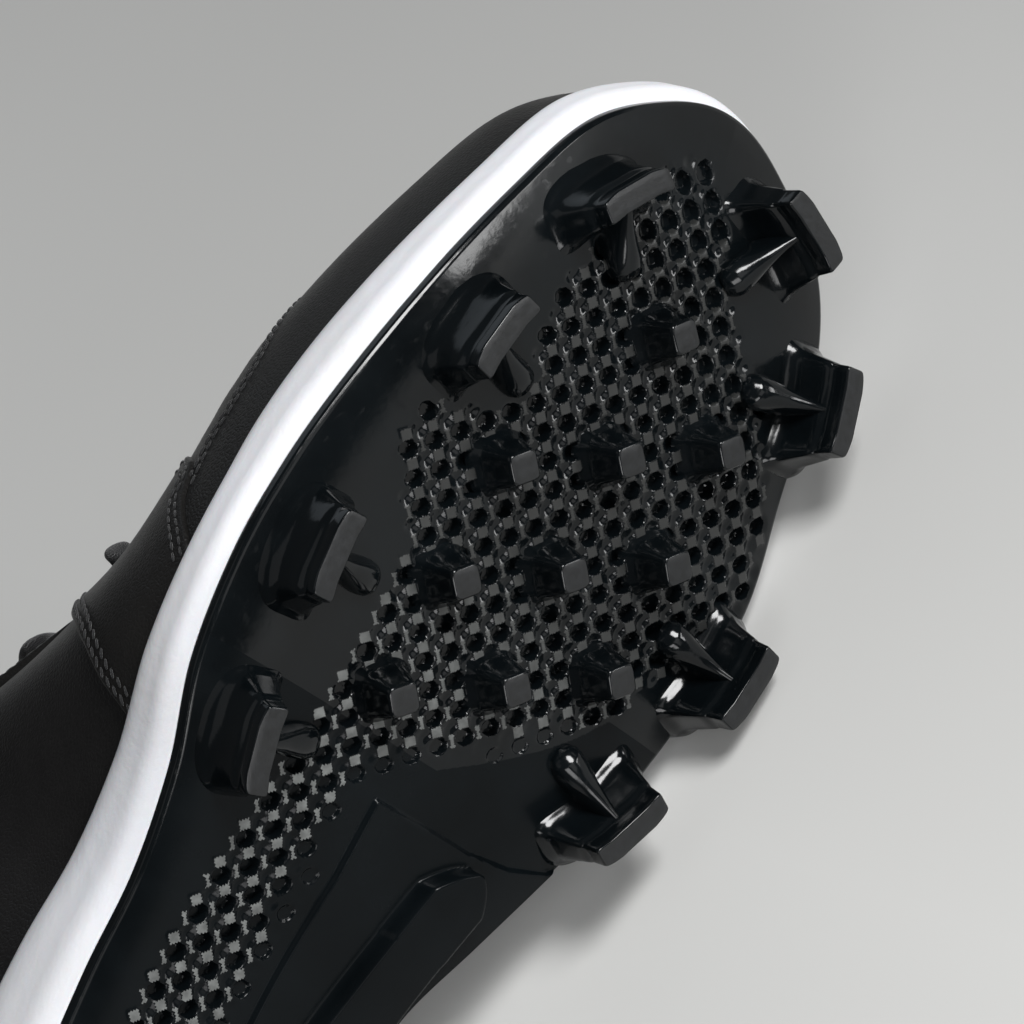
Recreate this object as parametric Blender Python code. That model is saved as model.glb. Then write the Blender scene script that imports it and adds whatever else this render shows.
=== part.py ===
"""Right baseball cleat with a moulded stud plate, lying on its medial side.

The shoe is drawn upright: +X from heel to toe, +Y towards the medial side, +Z up, with the
plate's heel end at x = 0. Its last function lays it on the side where it comes to rest.
Lengths are in metres. The tables hold shares of the named sizes, a row for each section.
"""

import bpy
import bmesh
import numpy as np
from mathutils import Matrix, Vector

# Sizes of the sole
PLATE_LENGTH = 0.2855
BALL_WIDTH = 0.095
PLATE_THICKNESS = 0.0034
PLATE_HEIGHT = 0.011
TOE_SPRING = 0.0117
SPRING_START = 0.742
ARCH_RISE = 0.0090
ARCH_PLACE = 0.40
ARCH_REACH = 0.24
CROWN_RADIUS = 0.38
MIDSOLE_HEIGHT = 0.0215
MIDSOLE_FLARE = 0.0022
PLATE_ROUNDING = 0.0006
FIT_GAP = 0.0003

# Sizes of the studs
BLADE_HEIGHT = 0.0112
BLADE_LENGTH = 0.0140
BLADE_THICKNESS = 0.0042
BLADE_FLARE = 0.0028
BLADE_BOW = 6.5
GUSSET_REACH = 0.0150
GUSSET_WIDTH = 0.0052
STUD_HEIGHT = 0.0072
STUD_SIDE = 0.0054
STUD_FLARE = 0.0014
STUD_PITCH = 0.0209
STUD_COLUMN = 0.0180
STUD_CORNER = 0.2
RIDGE_HEIGHT = 0.0034
RIDGE_WIDTH = 0.0155
STUD_ROOT = 0.0014
RIDGE_EDGE = 0.0002

# Sizes of the upper and what lies in and on it
INSTEP_HEIGHT = 0.072
WALL = 0.0022
FEATHER_INSET = 0.0022
FEATHER_GAP = 0.0005
LASTING_MARGIN = 0.0070
OVERLAY = 0.0011
INSOLE_THICKNESS = 0.0045
INSOLE_PLAY = 0.0012
INSOLE_SEAT = 0.0007
TONGUE_THICKNESS = 0.0040
TONGUE_GAP = 0.0016
TONGUE_FRONT = 0.610
TONGUE_REAR = 0.370
TONGUE_UNDERLAP = 0.16
TONGUE_TAIL = 0.0240
TONGUE_TAPER = 0.12
LACE_WIDTH = 0.0062
LACE_THICKNESS = 0.0018
LACE_ROWS = 6
LACE_CLEARANCE = 0.0013
LACE_TURN = 0.15
BRIDGE = (0.25, 0.5, 0.75)
LACE_FRONT = 0.56
LACE_REAR = 0.395
REST_FLAT = 0.0006

# Half widths of the plate, as shares of the ball width, along shares of its length
EDGE = {
    "along": (0.0, 0.02, 0.06, 0.12, 0.20, 0.30, 0.38, 0.44, 0.50, 0.56, 0.62, 0.68,
              0.75, 0.82, 0.89, 0.95, 0.985, 1.0),
    "lateral": (0.010, 0.205, 0.312, 0.362, 0.378, 0.385, 0.384, 0.390, 0.437, 0.516, 0.550,
                0.543, 0.508, 0.450, 0.365, 0.262, 0.125, -0.020),
    "medial": (-0.010, 0.185, 0.305, 0.360, 0.354, 0.280, 0.224, 0.222, 0.277, 0.332, 0.388,
               0.430, 0.450, 0.412, 0.378, 0.293, 0.150, 0.020),
}

# Columns along the sole's slabs, and the places across of their points
SOLE_COLUMNS = 31
SOLE_ACROSS = (0.0, 0.1, 0.35, 0.65, 0.9, 1.0)

# Height of the midsole's side wall, as shares of its height at the heel
SIDE_WALL = {
    "along": (0.0, 0.20, 0.32, 0.40, 0.45, 0.50, 0.55, 0.60, 0.65, 0.70, 0.75, 0.80, 0.86,
              0.92, 0.97, 1.0),
    "height": (1.02, 1.0, 0.92, 0.82, 0.73, 0.635, 0.54, 0.49, 0.475, 0.535, 0.57, 0.55, 0.495,
               0.470, 0.500, 0.535),
}

# The midsole's wall from the plate to the upper: share of its height and of its flare
MIDSOLE_WALL = {
    "level": (0.0, 0.14, 0.45, 0.85, 1.0),
    "out": (0.0, 0.75, 1.0, 0.85, 0.45),
}

# The upper's wall on each side. Rows run from the heel to the toe tip. foot is where a section
# starts on the sole's edge and top where it ends, as shares of the plate's length. half is the
# end's distance from the middle line as a share of the ball width, height its height over the
# midsole as a share of the instep's. rise and roll are the pulls of the curve at its two ends,
# as shares of the span, lean is the slope there, in degrees above level, and swell how far
# the wall leans out over the sole.
LATERAL = {
    "foot": (0.0, 0.05, 0.14, 0.25, 0.36, 0.46, 0.56, 0.62, 0.72, 0.84, 0.93, 1.0),
    "top": (0.022, 0.045, 0.120, 0.225, 0.325, 0.435, 0.580, 0.665, 0.735, 0.790, 0.830, 0.850),
    "half": (0.000, 0.190, 0.300, 0.315, 0.265, 0.210, 0.150, -0.060, -0.070, -0.050, -0.035, -0.030),
    "height": (1.020, 0.960, 0.830, 0.830, 1.120, 1.250, 0.940, 0.740, 0.650, 0.570, 0.520, 0.490),
    "rise": (0.36, 0.36, 0.38, 0.40, 0.42, 0.44, 0.43, 0.35, 0.36, 0.37, 0.38, 0.40),
    "roll": (0.30, 0.30, 0.30, 0.30, 0.32, 0.38, 0.44, 0.47, 0.47, 0.50, 0.52, 0.52),
    "lean": (86.0, 86.0, 88.0, 88.0, 76.0, 58.0, 40.0, 0.0, 0.0, 0.0, 0.0, 0.0),
    "swell": (0.16, 0.16, 0.16, 0.14, 0.14, 0.15, 0.12, 0.05, 0.06, 0.08, 0.10, 0.12),
}
MEDIAL = {
    "foot": LATERAL["foot"],
    "top": LATERAL["top"],
    "half": (0.000, 0.190, 0.315, 0.335, 0.275, 0.205, 0.185, 0.060, 0.070, 0.050, 0.035, 0.030),
    "height": (1.020, 0.970, 0.860, 0.880, 1.140, 1.250, 0.940, 0.740, 0.650, 0.570, 0.520, 0.490),
    "rise": (0.36, 0.36, 0.38, 0.42, 0.46, 0.46, 0.44, 0.42, 0.40, 0.40, 0.40, 0.42),
    "roll": (0.30, 0.30, 0.30, 0.30, 0.34, 0.34, 0.36, 0.46, 0.50, 0.52, 0.52, 0.52),
    "lean": (86.0, 86.0, 88.0, 88.0, 76.0, 58.0, 40.0, 0.0, 0.0, 0.0, 0.0, 0.0),
    "swell": (0.16, 0.16, 0.16, 0.16, 0.16, 0.14, 0.12, 0.14, 0.16, 0.16, 0.16, 0.14),
}

# Where the panels of the upper meet, as shares of the plate's length at the sole's edge
COUNTER_FRONT = 0.25
THROAT_REAR = 0.36
LEG_REAR = 0.50
LEG_FRONT = 0.616
THROAT_FRONT = 0.62
EYESTAY_DEPTH = 0.74

# Columns of the upper between the panels' edges, and rows from the sole to the top
ZONES = ((0.0, COUNTER_FRONT, 8), (COUNTER_FRONT, THROAT_REAR, 3), (THROAT_REAR, LEG_REAR, 4),
         (LEG_REAR, LEG_FRONT, 4), (LEG_FRONT, THROAT_FRONT, 1), (THROAT_FRONT, 1.0, 10))
ROWS = (0.0, 0.06, 0.16, 0.30, 0.45, 0.60, EYESTAY_DEPTH, 0.87, 1.0)

# Blades round the plate's edge: place along and across as shares, turn in degrees
BLADES = {
    "along": (0.907, 0.798, 0.643, 0.536, 0.951, 0.871, 0.7065, 0.6025,
              0.285, 0.130, 0.285, 0.130, 0.030),
    "across": (-0.226, -0.360, -0.458, -0.390, 0.160, 0.366, 0.426, 0.335,
               -0.315, -0.285, 0.215, 0.262, 0.0),
    "turn": (37.0, 12.0, -4.0, -20.0, 114.0, -11.0, 8.0, 22.0,
             0.0, 8.0, 5.0, -8.0, 90.0),
}

# A blade from root to tip: depth as a share of its height, and the shares of the flare that
# are added to its half length and half width
BLADE_SECTIONS = {
    "depth": (-0.125, 0.20, 0.62, 0.66, 1.0),
    "length": (1.43, 0.45, 0.22, 0.0, -0.14),
    "width": (1.43, 0.45, 0.26, 0.0, -0.11),
}

# A gusset from the blade inwards: shares of its reach, of the blade's height and of its width
GUSSET_SECTIONS = {
    "reach": (-0.03, 0.31, 0.65, 1.0),
    "height": (0.82, 0.52, 0.23, 0.02),
    "width": (0.45, 0.63, 0.82, 1.0),
}

# A square stud from root to tip: depth as a share of its height and share of its flare
STUD_SECTIONS = {
    "depth": (-0.195, 0.25, 0.93, 1.0),
    "flare": (1.55, 0.45, 0.0, -0.29),
}

# The ridge on the shank: place along and across as shares, width and height as shares
RIDGE = {
    "along": (0.200, 0.230, 0.300, 0.370, 0.430, 0.480, 0.510, 0.530, 0.538),
    "across": (0.000, 0.010, 0.030, 0.080, 0.118, 0.140, 0.152, 0.161, 0.165),
    "width": (0.85, 0.88, 0.95, 0.98, 1.00, 0.98, 0.84, 0.50, 0.26),
    "height": (0.33, 1.0, 1.0, 1.0, 1.0, 1.0, 1.0, 0.55, 0.20),
}

# Square studs: column across and place along, counted in pitches from the middle stud
SQUARE_STUDS = ((0.0, 0.0), (0.0, 1.0), (0.0, -1.0), (0.0, 2.05), (-1.0, 0.5), (-1.0, -0.5),
                (-1.0, -1.5), (1.0, 0.5), (1.0, -0.5), (1.0, 1.5))
MIDDLE_STUD = 0.7075

# Blades in front of this share of the length have a gusset
HEEL_END = 0.45

# Finishes: name, colour and roughness
BLACK_TPU = ("black_tpu", (0.012, 0.014, 0.016), 0.22)
WHITE_FOAM = ("white_foam", (0.83, 0.84, 0.86), 0.55)
BLACK_LEATHER = ("black_leather", (0.014, 0.013, 0.012), 0.50)
OVERLAY_LEATHER = ("overlay_leather", (0.018, 0.016, 0.015), 0.45)
TONGUE_FABRIC = ("tongue_fabric", (0.020, 0.020, 0.021), 0.85)
INSOLE_CLOTH = ("insole_cloth", (0.030, 0.030, 0.032), 0.90)
LACE_CORD = ("lace_cord", (0.016, 0.016, 0.017), 0.80)

# Densities in kilograms per cubic metre, for the place of the centre of mass
DENSITY = {"black_tpu": 1150.0, "white_foam": 220.0, "black_leather": 900.0,
           "overlay_leather": 900.0, "tongue_fabric": 300.0, "insole_cloth": 200.0,
           "lace_cord": 600.0}


def clear_scene():
    for old in list(bpy.data.objects):
        bpy.data.objects.remove(old, do_unlink=True)


def make_material(name, colour, roughness):
    """One Principled material by name."""
    material = bpy.data.materials.get(name) or bpy.data.materials.new(name)
    material.use_nodes = True
    shader = material.node_tree.nodes["Principled BSDF"]
    shader.inputs["Base Color"].default_value = (*colour, 1.0)
    shader.inputs["Roughness"].default_value = roughness
    shader.inputs["Metallic"].default_value = 0.0
    return material


def smooth(knots, values, at):
    """Cubic through a table's rows, each slope taken from the rows on both sides."""
    knots = np.asarray(knots, float)
    values = np.asarray(values, float)
    at = np.asarray(at, float)
    slopes = np.gradient(values, knots)
    row = np.clip(np.searchsorted(knots, at, side="right") - 1, 0, len(knots) - 2)
    span = knots[row + 1] - knots[row]
    t = (at - knots[row]) / span
    start = (2 * t**3 - 3 * t**2 + 1) * values[row] + (t**3 - 2 * t**2 + t) * span * slopes[row]
    stop = (3 * t**2 - 2 * t**3) * values[row + 1] + (t**3 - t**2) * span * slopes[row + 1]
    return start + stop


def turn_of(share):
    """Angle round the outline, 0 at the heel and pi at the toe, for a share of the length."""
    return np.arccos(np.clip(1 - 2 * np.asarray(share, float), -1, 1))


def plate_edge(angle):
    """Point of the plate's edge in plan: medial for a positive angle, lateral for a negative."""
    angle = (np.asarray(angle, float) + np.pi) % (2 * np.pi) - np.pi
    along = (1 - np.cos(angle)) / 2
    knots = turn_of(EDGE["along"])
    medial = smooth(knots, EDGE["medial"], np.abs(angle))
    lateral = -smooth(knots, EDGE["lateral"], np.abs(angle))
    across = np.where(angle >= 0, medial, lateral)
    return np.stack([PLATE_LENGTH * along, BALL_WIDTH * across], -1)


def offset_edge(angle, out):
    """The plate's edge pushed out square to itself."""
    step = 0.02
    along = plate_edge(angle + step) - plate_edge(angle - step)
    along = along / np.linalg.norm(along, axis=-1, keepdims=True)
    outward = np.stack([-along[..., 1], along[..., 0]], -1)
    return plate_edge(angle) + outward * np.asarray(out)[..., None]


def bump(value, middle, reach):
    """Smooth hump, 1 in the middle and 0 beyond its reach."""
    return np.cos(np.clip((value - middle) / reach, -1, 1) * np.pi / 2) ** 2


def plate_bottom(x, y):
    """Height of the plate's underside: flat ball and heel, arch between, spring at the toe."""
    share = x / PLATE_LENGTH
    toe = TOE_SPRING * np.clip((share - SPRING_START) / (1 - SPRING_START), 0, None) ** 2
    arch = ARCH_RISE * bump(share, ARCH_PLACE, ARCH_REACH)
    return PLATE_HEIGHT + toe + arch + y**2 / (2 * CROWN_RADIUS)


def midsole_height(x):
    """Height of the midsole's side wall, growing towards the heel."""
    share = np.clip(np.asarray(x, float) / PLATE_LENGTH, 0, 1)
    return MIDSOLE_HEIGHT * smooth(SIDE_WALL["along"], SIDE_WALL["height"], share)


def plate_top(x, y):
    return plate_bottom(x, y) + PLATE_THICKNESS


def midsole_bottom(x, y):
    return plate_top(x, y) + FIT_GAP


def midsole_level(share):
    """Height function at a share of the midsole's wall."""
    return lambda x, y: midsole_bottom(x, y) + midsole_height(x) * share


def new_object(name, verts, faces, finish, sharp=35.0):
    """Mesh object from points and faces, closed, facing out and smooth but for sharp edges."""
    mesh = bpy.data.meshes.new(name)
    shape = bmesh.new()
    points = [shape.verts.new(point) for point in verts]
    for face in faces:
        corners = []
        for index in face:
            if points[index] not in corners:
                corners.append(points[index])
        if len(corners) > 2 and shape.faces.get(corners) is None:
            shape.faces.new(corners)
    bmesh.ops.remove_doubles(shape, verts=shape.verts, dist=1e-6)
    bmesh.ops.dissolve_degenerate(shape, edges=shape.edges, dist=1e-6)
    bmesh.ops.triangulate(shape, faces=shape.faces)
    bmesh.ops.recalc_face_normals(shape, faces=shape.faces)
    shape.to_mesh(mesh)
    shape.free()
    mesh.shade_smooth()
    mesh.set_sharp_from_angle(angle=np.radians(sharp))
    mesh.materials.append(make_material(*finish))
    result = bpy.data.objects.new(name, mesh)
    bpy.context.collection.objects.link(result)
    return result


def strip_faces(columns, ring):
    """Quads between neighbouring closed rings of equal count."""
    faces = []
    for start in range(0, (columns - 1) * ring, ring):
        for k in range(ring):
            n = (k + 1) % ring
            faces.append((start + k, start + n, start + ring + n, start + ring + k))
    return faces


def cap_faces(columns, ring):
    """End faces of a row of closed rings."""
    return [tuple(range(ring)), tuple(range((columns - 1) * ring, columns * ring))]


def slab(name, levels, finish, across=SOLE_ACROSS):
    """Closed slab whose plan is the plate's edge, through levels of outset and height."""
    rings = []
    for angle in np.linspace(0, np.pi, SOLE_COLUMNS):
        ring = []
        low_out, low_height = levels[0]
        high_out, high_height = levels[-1]
        lateral = offset_edge(-angle, low_out)
        medial = offset_edge(angle, low_out)
        for t in across:
            x, y = lateral + (medial - lateral) * t
            ring.append((x, y, low_height(x, y)))
        for out, height in levels[1:-1]:
            x, y = offset_edge(angle, out)
            ring.append((x, y, height(x, y)))
        lateral = offset_edge(-angle, high_out)
        medial = offset_edge(angle, high_out)
        for t in reversed(across):
            x, y = lateral + (medial - lateral) * t
            ring.append((x, y, high_height(x, y)))
        for out, height in reversed(levels[1:-1]):
            x, y = offset_edge(-angle, out)
            ring.append((x, y, height(x, y)))
        rings.append(ring)
    verts = [point for ring in rings for point in ring]
    return new_object(name, verts, strip_faces(len(rings), len(rings[0])), finish)


def plate_frame(x, y, turn):
    """Frame on the plate's underside: length, inward and outward (down) directions."""
    small = 0.001
    slope_x = (plate_bottom(x + small, y) - plate_bottom(x - small, y)) / (2 * small)
    slope_y = (plate_bottom(x, y + small) - plate_bottom(x, y - small)) / (2 * small)
    down = Vector((slope_x, slope_y, -1)).normalized()
    length = Vector((np.cos(turn), np.sin(turn), 0))
    length = (length - down * length.dot(down)).normalized()
    inward = down.cross(length)
    if inward.y * y > 0:
        inward = -inward
    frame = Matrix((length, inward, down)).transposed().to_4x4()
    return Matrix.Translation((x, y, plate_bottom(x, y))) @ frame


def oval_ring(half_length, half_width, bow, depth, points=12):
    """Bar outline with round ends, bowed along its length, at one depth."""
    ring = []
    straight = max(half_length - half_width, 0.0001)
    for k in range(points):
        angle = 2 * np.pi * k / points
        along = half_width * np.cos(angle) + np.copysign(straight, np.cos(angle))
        if abs(np.cos(angle)) < 1e-6:
            along = 0.0
        side = half_width * np.sin(angle)
        ring.append((along, side + along**2 * bow, depth))
    return ring


def square_ring(side, corner, depth, turn=np.pi / 4):
    """Square outline with cut corners at one depth."""
    half = side / 2
    ring = []
    for quarter in range(4):
        for first, second in ((half, -half + corner), (half, half - corner)):
            angle = turn + quarter * np.pi / 2
            ring.append((first * np.cos(angle) - second * np.sin(angle),
                         first * np.sin(angle) + second * np.cos(angle), depth))
    return ring


def tower(name, frame, rings, finish):
    """Closed solid through rings of one count, capped at both ends."""
    count = len(rings[0])
    verts = [frame @ Vector(point) for ring in rings for point in ring]
    faces = strip_faces(len(rings), count) + cap_faces(len(rings), count)
    return new_object(name, verts, faces, finish)


def blade(index, along, across, turn):
    """Perimeter blade: flared root, a step line, a straight tip, bowed like the edge."""
    frame = plate_frame(along * PLATE_LENGTH, across * BALL_WIDTH, np.radians(turn))
    rings = []
    for depth, length, width in zip(*BLADE_SECTIONS.values()):
        rings.append(oval_ring(BLADE_LENGTH / 2 + BLADE_FLARE * length,
                               BLADE_THICKNESS / 2 + BLADE_FLARE * width,
                               BLADE_BOW, BLADE_HEIGHT * depth))
    return tower(f"blade_{index}", frame, rings, BLACK_TPU)


def gusset(index, along, across, turn):
    """Cone-like rib that props a blade from the middle of the sole."""
    frame = plate_frame(along * PLATE_LENGTH, across * BALL_WIDTH, np.radians(turn))
    rows = []
    for reach, height, width in zip(*GUSSET_SECTIONS.values()):
        inward = GUSSET_REACH * reach
        top = BLADE_HEIGHT * height
        half = GUSSET_WIDTH / 2 * width
        rows.append([(-half, inward, -STUD_ROOT), (-half, inward, top * 0.45),
                     (-half * 0.45, inward, top), (half * 0.45, inward, top),
                     (half, inward, top * 0.45), (half, inward, -STUD_ROOT)])
    return tower(f"gusset_{index}", frame, rows, BLACK_TPU)


def square_stud(index, column, place):
    """Square stud, turned a half quarter, with a flared root and cut corners."""
    x = MIDDLE_STUD * PLATE_LENGTH + place * STUD_PITCH
    y = column * STUD_COLUMN
    frame = plate_frame(x, y, 0.0)
    rings = []
    for depth, flare in zip(*STUD_SECTIONS.values()):
        rings.append(square_ring(STUD_SIDE + 2 * STUD_FLARE * flare, STUD_SIDE * STUD_CORNER,
                                 STUD_HEIGHT * depth))
    return tower(f"stud_{index}", frame, rings, BLACK_TPU)


def shank_ridge():
    """Round-nosed ridge on the shank, from behind the ball back to the heel."""
    rings = []
    for along, across, width, height in zip(*RIDGE.values()):
        x = along * PLATE_LENGTH
        y = across * BALL_WIDTH
        half = width * RIDGE_WIDTH / 2
        ring = [(x, y - half, plate_bottom(x, y - half) + STUD_ROOT)]
        for share in (-1.0, -0.72, -0.35, 0.35, 0.72, 1.0):
            side = y + half * share
            drop = RIDGE_HEIGHT * height * (1 - abs(share) ** 3) + RIDGE_EDGE
            ring.append((x, side, plate_bottom(x, side) - drop))
        ring.append((x, y + half, plate_bottom(x, y + half) + STUD_ROOT))
        rings.append(ring)
    return tower("shank_ridge", Matrix.Identity(4), rings, BLACK_TPU)


def join_union(target, pieces):
    """Fuse pieces into the target, one Boolean for each, and remove them."""
    for piece in pieces:
        union = target.modifiers.new(piece.name, "BOOLEAN")
        union.operation = "UNION"
        union.solver = "EXACT"
        union.object = piece
    bpy.context.view_layer.update()
    graph = bpy.context.evaluated_depsgraph_get()
    fused = bpy.data.meshes.new_from_object(target.evaluated_get(graph))
    target.modifiers.clear()
    target.data = fused
    for piece in pieces:
        bpy.data.objects.remove(piece, do_unlink=True)


def outsole_plate():
    """Moulded plate with all its blades, gussets, square studs and ridge in one piece."""
    levels = ((-PLATE_ROUNDING, plate_bottom),
              (0.0, lambda x, y: plate_bottom(x, y) + PLATE_ROUNDING), (0.0, plate_top))
    plate = slab("outsole_plate", levels, BLACK_TPU)
    pieces = [shank_ridge()]
    rows = list(zip(BLADES["along"], BLADES["across"], BLADES["turn"]))
    for index, row in enumerate(rows):
        pieces.append(blade(index, *row))
        if row[0] > HEEL_END:
            pieces.append(gusset(index, *row))
    for index, (column, place) in enumerate(SQUARE_STUDS):
        pieces.append(square_stud(index, column, place))
    join_union(plate, pieces)
    return plate


def midsole():
    """White foam wedge, its wall bulging a little between the plate and the upper."""
    levels = [(MIDSOLE_FLARE * out, midsole_level(level))
              for level, out in zip(*MIDSOLE_WALL.values())]
    return slab("midsole", levels, WHITE_FOAM)


def midsole_rim():
    """How far the midsole's top edge stands out from the plate's edge."""
    return MIDSOLE_FLARE * MIDSOLE_WALL["out"][-1]


def upper_foot(angle, inset=FEATHER_INSET):
    """Line on top of the midsole, pulled in from its edge: the feather line of the upper."""
    x, y = np.moveaxis(offset_edge(angle, midsole_rim() - inset), -1, 0)
    z = midsole_level(1.0)(x, y) + FEATHER_GAP
    return np.stack([x, y, z], -1)


def wall_point(side, share, row):
    """Point of the upper's outer skin: a cubic curve from the feather line to the top edge."""
    table = MEDIAL if side > 0 else LATERAL
    knots = turn_of(table["foot"])
    angle = turn_of(share)
    foot = upper_foot(side * angle)
    column = {key: smooth(knots, table[key], angle) for key in
              ("top", "half", "height", "rise", "roll", "lean", "swell")}
    top_x = column["top"] * PLATE_LENGTH
    top_y = side * column["half"] * BALL_WIDTH
    base = midsole_level(1.0)(top_x, 0.0 * top_x)
    top = np.stack([top_x, top_y, base + column["height"] * INSTEP_HEIGHT], -1)
    chord = top - foot
    span = np.linalg.norm(chord, axis=-1)
    inward = chord.copy()
    inward[..., 2] = 0
    inward = inward / np.linalg.norm(inward, axis=-1, keepdims=True)
    lean = np.radians(column["lean"])
    up = np.array([0.0, 0.0, 1.0])
    rise = (up - inward * column["swell"][..., None]) * (column["rise"] * span)[..., None]
    slope = inward * np.cos(lean)[..., None] + up * np.sin(lean)[..., None]
    roll = slope * (column["roll"] * span)[..., None]
    t = np.asarray(row, float)[..., None]
    return ((1 - t)**3 * foot + 3 * (1 - t)**2 * t * (foot + rise)
            + 3 * (1 - t) * t**2 * (top - roll) + t**3 * top)


def skin_frame(side, share, row):
    """Points of the outer skin and its normals, pointing up and away from the middle."""
    share = np.asarray(share, float)
    row = np.asarray(row, float)
    point = wall_point(side, share, row)
    ahead = wall_point(side, share + 0.004, row)
    below = wall_point(side, share, row - 0.01)
    normal = np.cross(ahead - point, point - below)
    normal = normal / np.linalg.norm(normal, axis=-1, keepdims=True)
    facing = normal @ np.array([0.0, side * 0.7, 0.7])
    return point, normal * np.sign(facing)[..., None]


def column_shares():
    """Feather shares of all columns, with the panels' edges among them."""
    shares = [0.0]
    for start, stop, count in ZONES:
        first, last = turn_of(start), turn_of(stop)
        for k in range(1, count + 1):
            shares.append(float((1 - np.cos(first + (last - first) * k / count)) / 2))
    return np.array(shares)


def skin_grid():
    """Outer skin of the upper as points by side, column and row, with its outward normals."""
    shares = column_shares()
    rows = np.array(ROWS)
    across, down = np.meshgrid(shares, rows, indexing="ij")
    grids = []
    for side in (-1, 1):
        points = wall_point(side, across, down)
        margin = upper_foot(side * turn_of(shares), FEATHER_INSET + LASTING_MARGIN)
        grids.append(np.concatenate([margin[:, None], points], axis=1))
    grid = np.stack(grids)
    middle = shares >= THROAT_FRONT - 1e-9
    crown = (grid[0, middle, -1] + grid[1, middle, -1]) / 2
    grid[0, middle, -1] = crown
    grid[1, middle, -1] = crown
    for column in (0, -1):
        seam = (grid[0, column] + grid[1, column]) / 2
        grid[0, column] = seam
        grid[1, column] = seam
    return grid, skin_normals(grid)


def grid_ids(grid):
    """One number for each different point of the grid, so that sewn points are shared."""
    flat = np.round(grid.reshape(-1, 3), 7)
    unique, ids = np.unique(flat, axis=0, return_inverse=True)
    return unique, ids.reshape(grid.shape[:3])


def skin_cells(ids):
    """Quads of both sides, all turned outwards."""
    cells = {}
    for side in (0, 1):
        for column in range(ids.shape[1] - 1):
            for row in range(ids.shape[2] - 1):
                quad = [ids[side, column, row], ids[side, column + 1, row],
                        ids[side, column + 1, row + 1], ids[side, column, row + 1]]
                if side == 1:
                    quad.reverse()
                cells[side, column, row] = quad
    return cells


def skin_normals(grid):
    """Normals at the grid's points, drawn out at folds so that a wall keeps its thickness."""
    unique, ids = grid_ids(grid)
    total = np.zeros_like(unique)
    flat_normals = []
    cells = list(skin_cells(ids).values())
    for quad in cells:
        a, b, c, d = (unique[k] for k in quad)
        normal = np.cross(c - a, d - b)
        size = np.linalg.norm(normal)
        normal = normal / size if size > 0 else normal
        flat_normals.append(normal)
        for k in quad:
            total[k] += normal
    total = total / np.linalg.norm(total, axis=1, keepdims=True)
    meeting = np.ones(len(unique))
    for quad, normal in zip(cells, flat_normals):
        for k in quad:
            meeting[k] = min(meeting[k], float(total[k] @ normal))
    return (total / np.clip(meeting, 0.7, 1)[:, None])[ids]


def shell(name, grid, normals, cells, outside, inside, finish):
    """Closed wall over chosen cells of the skin, between two distances from it."""
    unique, ids = grid_ids(grid)
    flat = np.zeros_like(unique)
    flat[ids.reshape(-1)] = normals.reshape(-1, 3)
    outer = unique + flat * outside
    inner = unique + flat * inside
    every = skin_cells(ids)
    quads = [every[cell] for cell in cells]
    count = len(unique)
    faces = [tuple(quad) for quad in quads]
    faces += [tuple(k + count for k in reversed(quad)) for quad in quads]
    edges = {}
    for quad in quads:
        for k in range(4):
            edge = (quad[k], quad[(k + 1) % 4])
            if edge[0] != edge[1]:
                edges[edge] = True
    for first, second in edges:
        if (second, first) not in edges:
            faces.append((second, first, first + count, second + count))
    used = sorted({k for face in faces for k in face})
    place = {k: n for n, k in enumerate(used)}
    points = np.concatenate([outer, inner])
    verts = [tuple(points[k]) for k in used]
    return new_object(name, verts, [tuple(place[k] for k in face) for face in faces], finish)


def panel_cells(shares, chosen):
    """Cells of the skin whose middle passes a test on side, share along and row."""
    rows = np.concatenate([[-0.5], np.array(ROWS)])
    cells = []
    for side in (0, 1):
        for column in range(len(shares) - 1):
            for row in range(len(rows) - 1):
                along = (shares[column] + shares[column + 1]) / 2
                up = (rows[row] + rows[row + 1]) / 2
                if chosen(side, along, up):
                    cells.append((side, column, row))
    return cells


def build_upper():
    """Hollow leather shell and the three overlays cut from the same skin."""
    grid, normals = skin_grid()
    shares = column_shares()
    everything = panel_cells(shares, lambda side, along, up: True)
    shell("upper", grid, normals, everything, 0.0, -WALL, BLACK_LEATHER)
    lap = (FIT_GAP + OVERLAY, FIT_GAP, OVERLAY_LEATHER)
    normals[:, :, 1, 2] = 0
    normals[:, :, 1] /= np.linalg.norm(normals[:, :, 1], axis=-1, keepdims=True)
    grid[:, :, 1, 2] += FIT_GAP
    toe = panel_cells(shares, lambda side, along, up: up > 0 and along > THROAT_FRONT)
    shell("toe_overlay", grid, normals, toe, *lap)
    for number, name in enumerate(("eyestay_lateral", "eyestay_medial")):
        eyestay = panel_cells(shares, lambda side, along, up: side == number and up > 0 and (
            THROAT_REAR < along < LEG_FRONT and up > EYESTAY_DEPTH
            or LEG_REAR < along < LEG_FRONT))
        shell(name, grid, normals, eyestay, *lap)
    counter = panel_cells(shares, lambda side, along, up: 0 < up < EYESTAY_DEPTH
                          and along < COUNTER_FRONT)
    shell("heel_counter", grid, normals, counter, *lap)


def insole():
    """Foot bed on the lasting margin, clear of the wall."""
    out = midsole_rim() - FEATHER_INSET - WALL * 1.5 - INSOLE_PLAY
    seat = FEATHER_GAP + WALL + INSOLE_SEAT

    def level(height):
        return lambda x, y: midsole_level(1.0)(x, y) + seat + height

    levels = ((out, level(0.0)), (out, level(INSOLE_THICKNESS)))
    return slab("insole", levels, INSOLE_CLOTH, (0.0, 0.5, 1.0))


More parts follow.
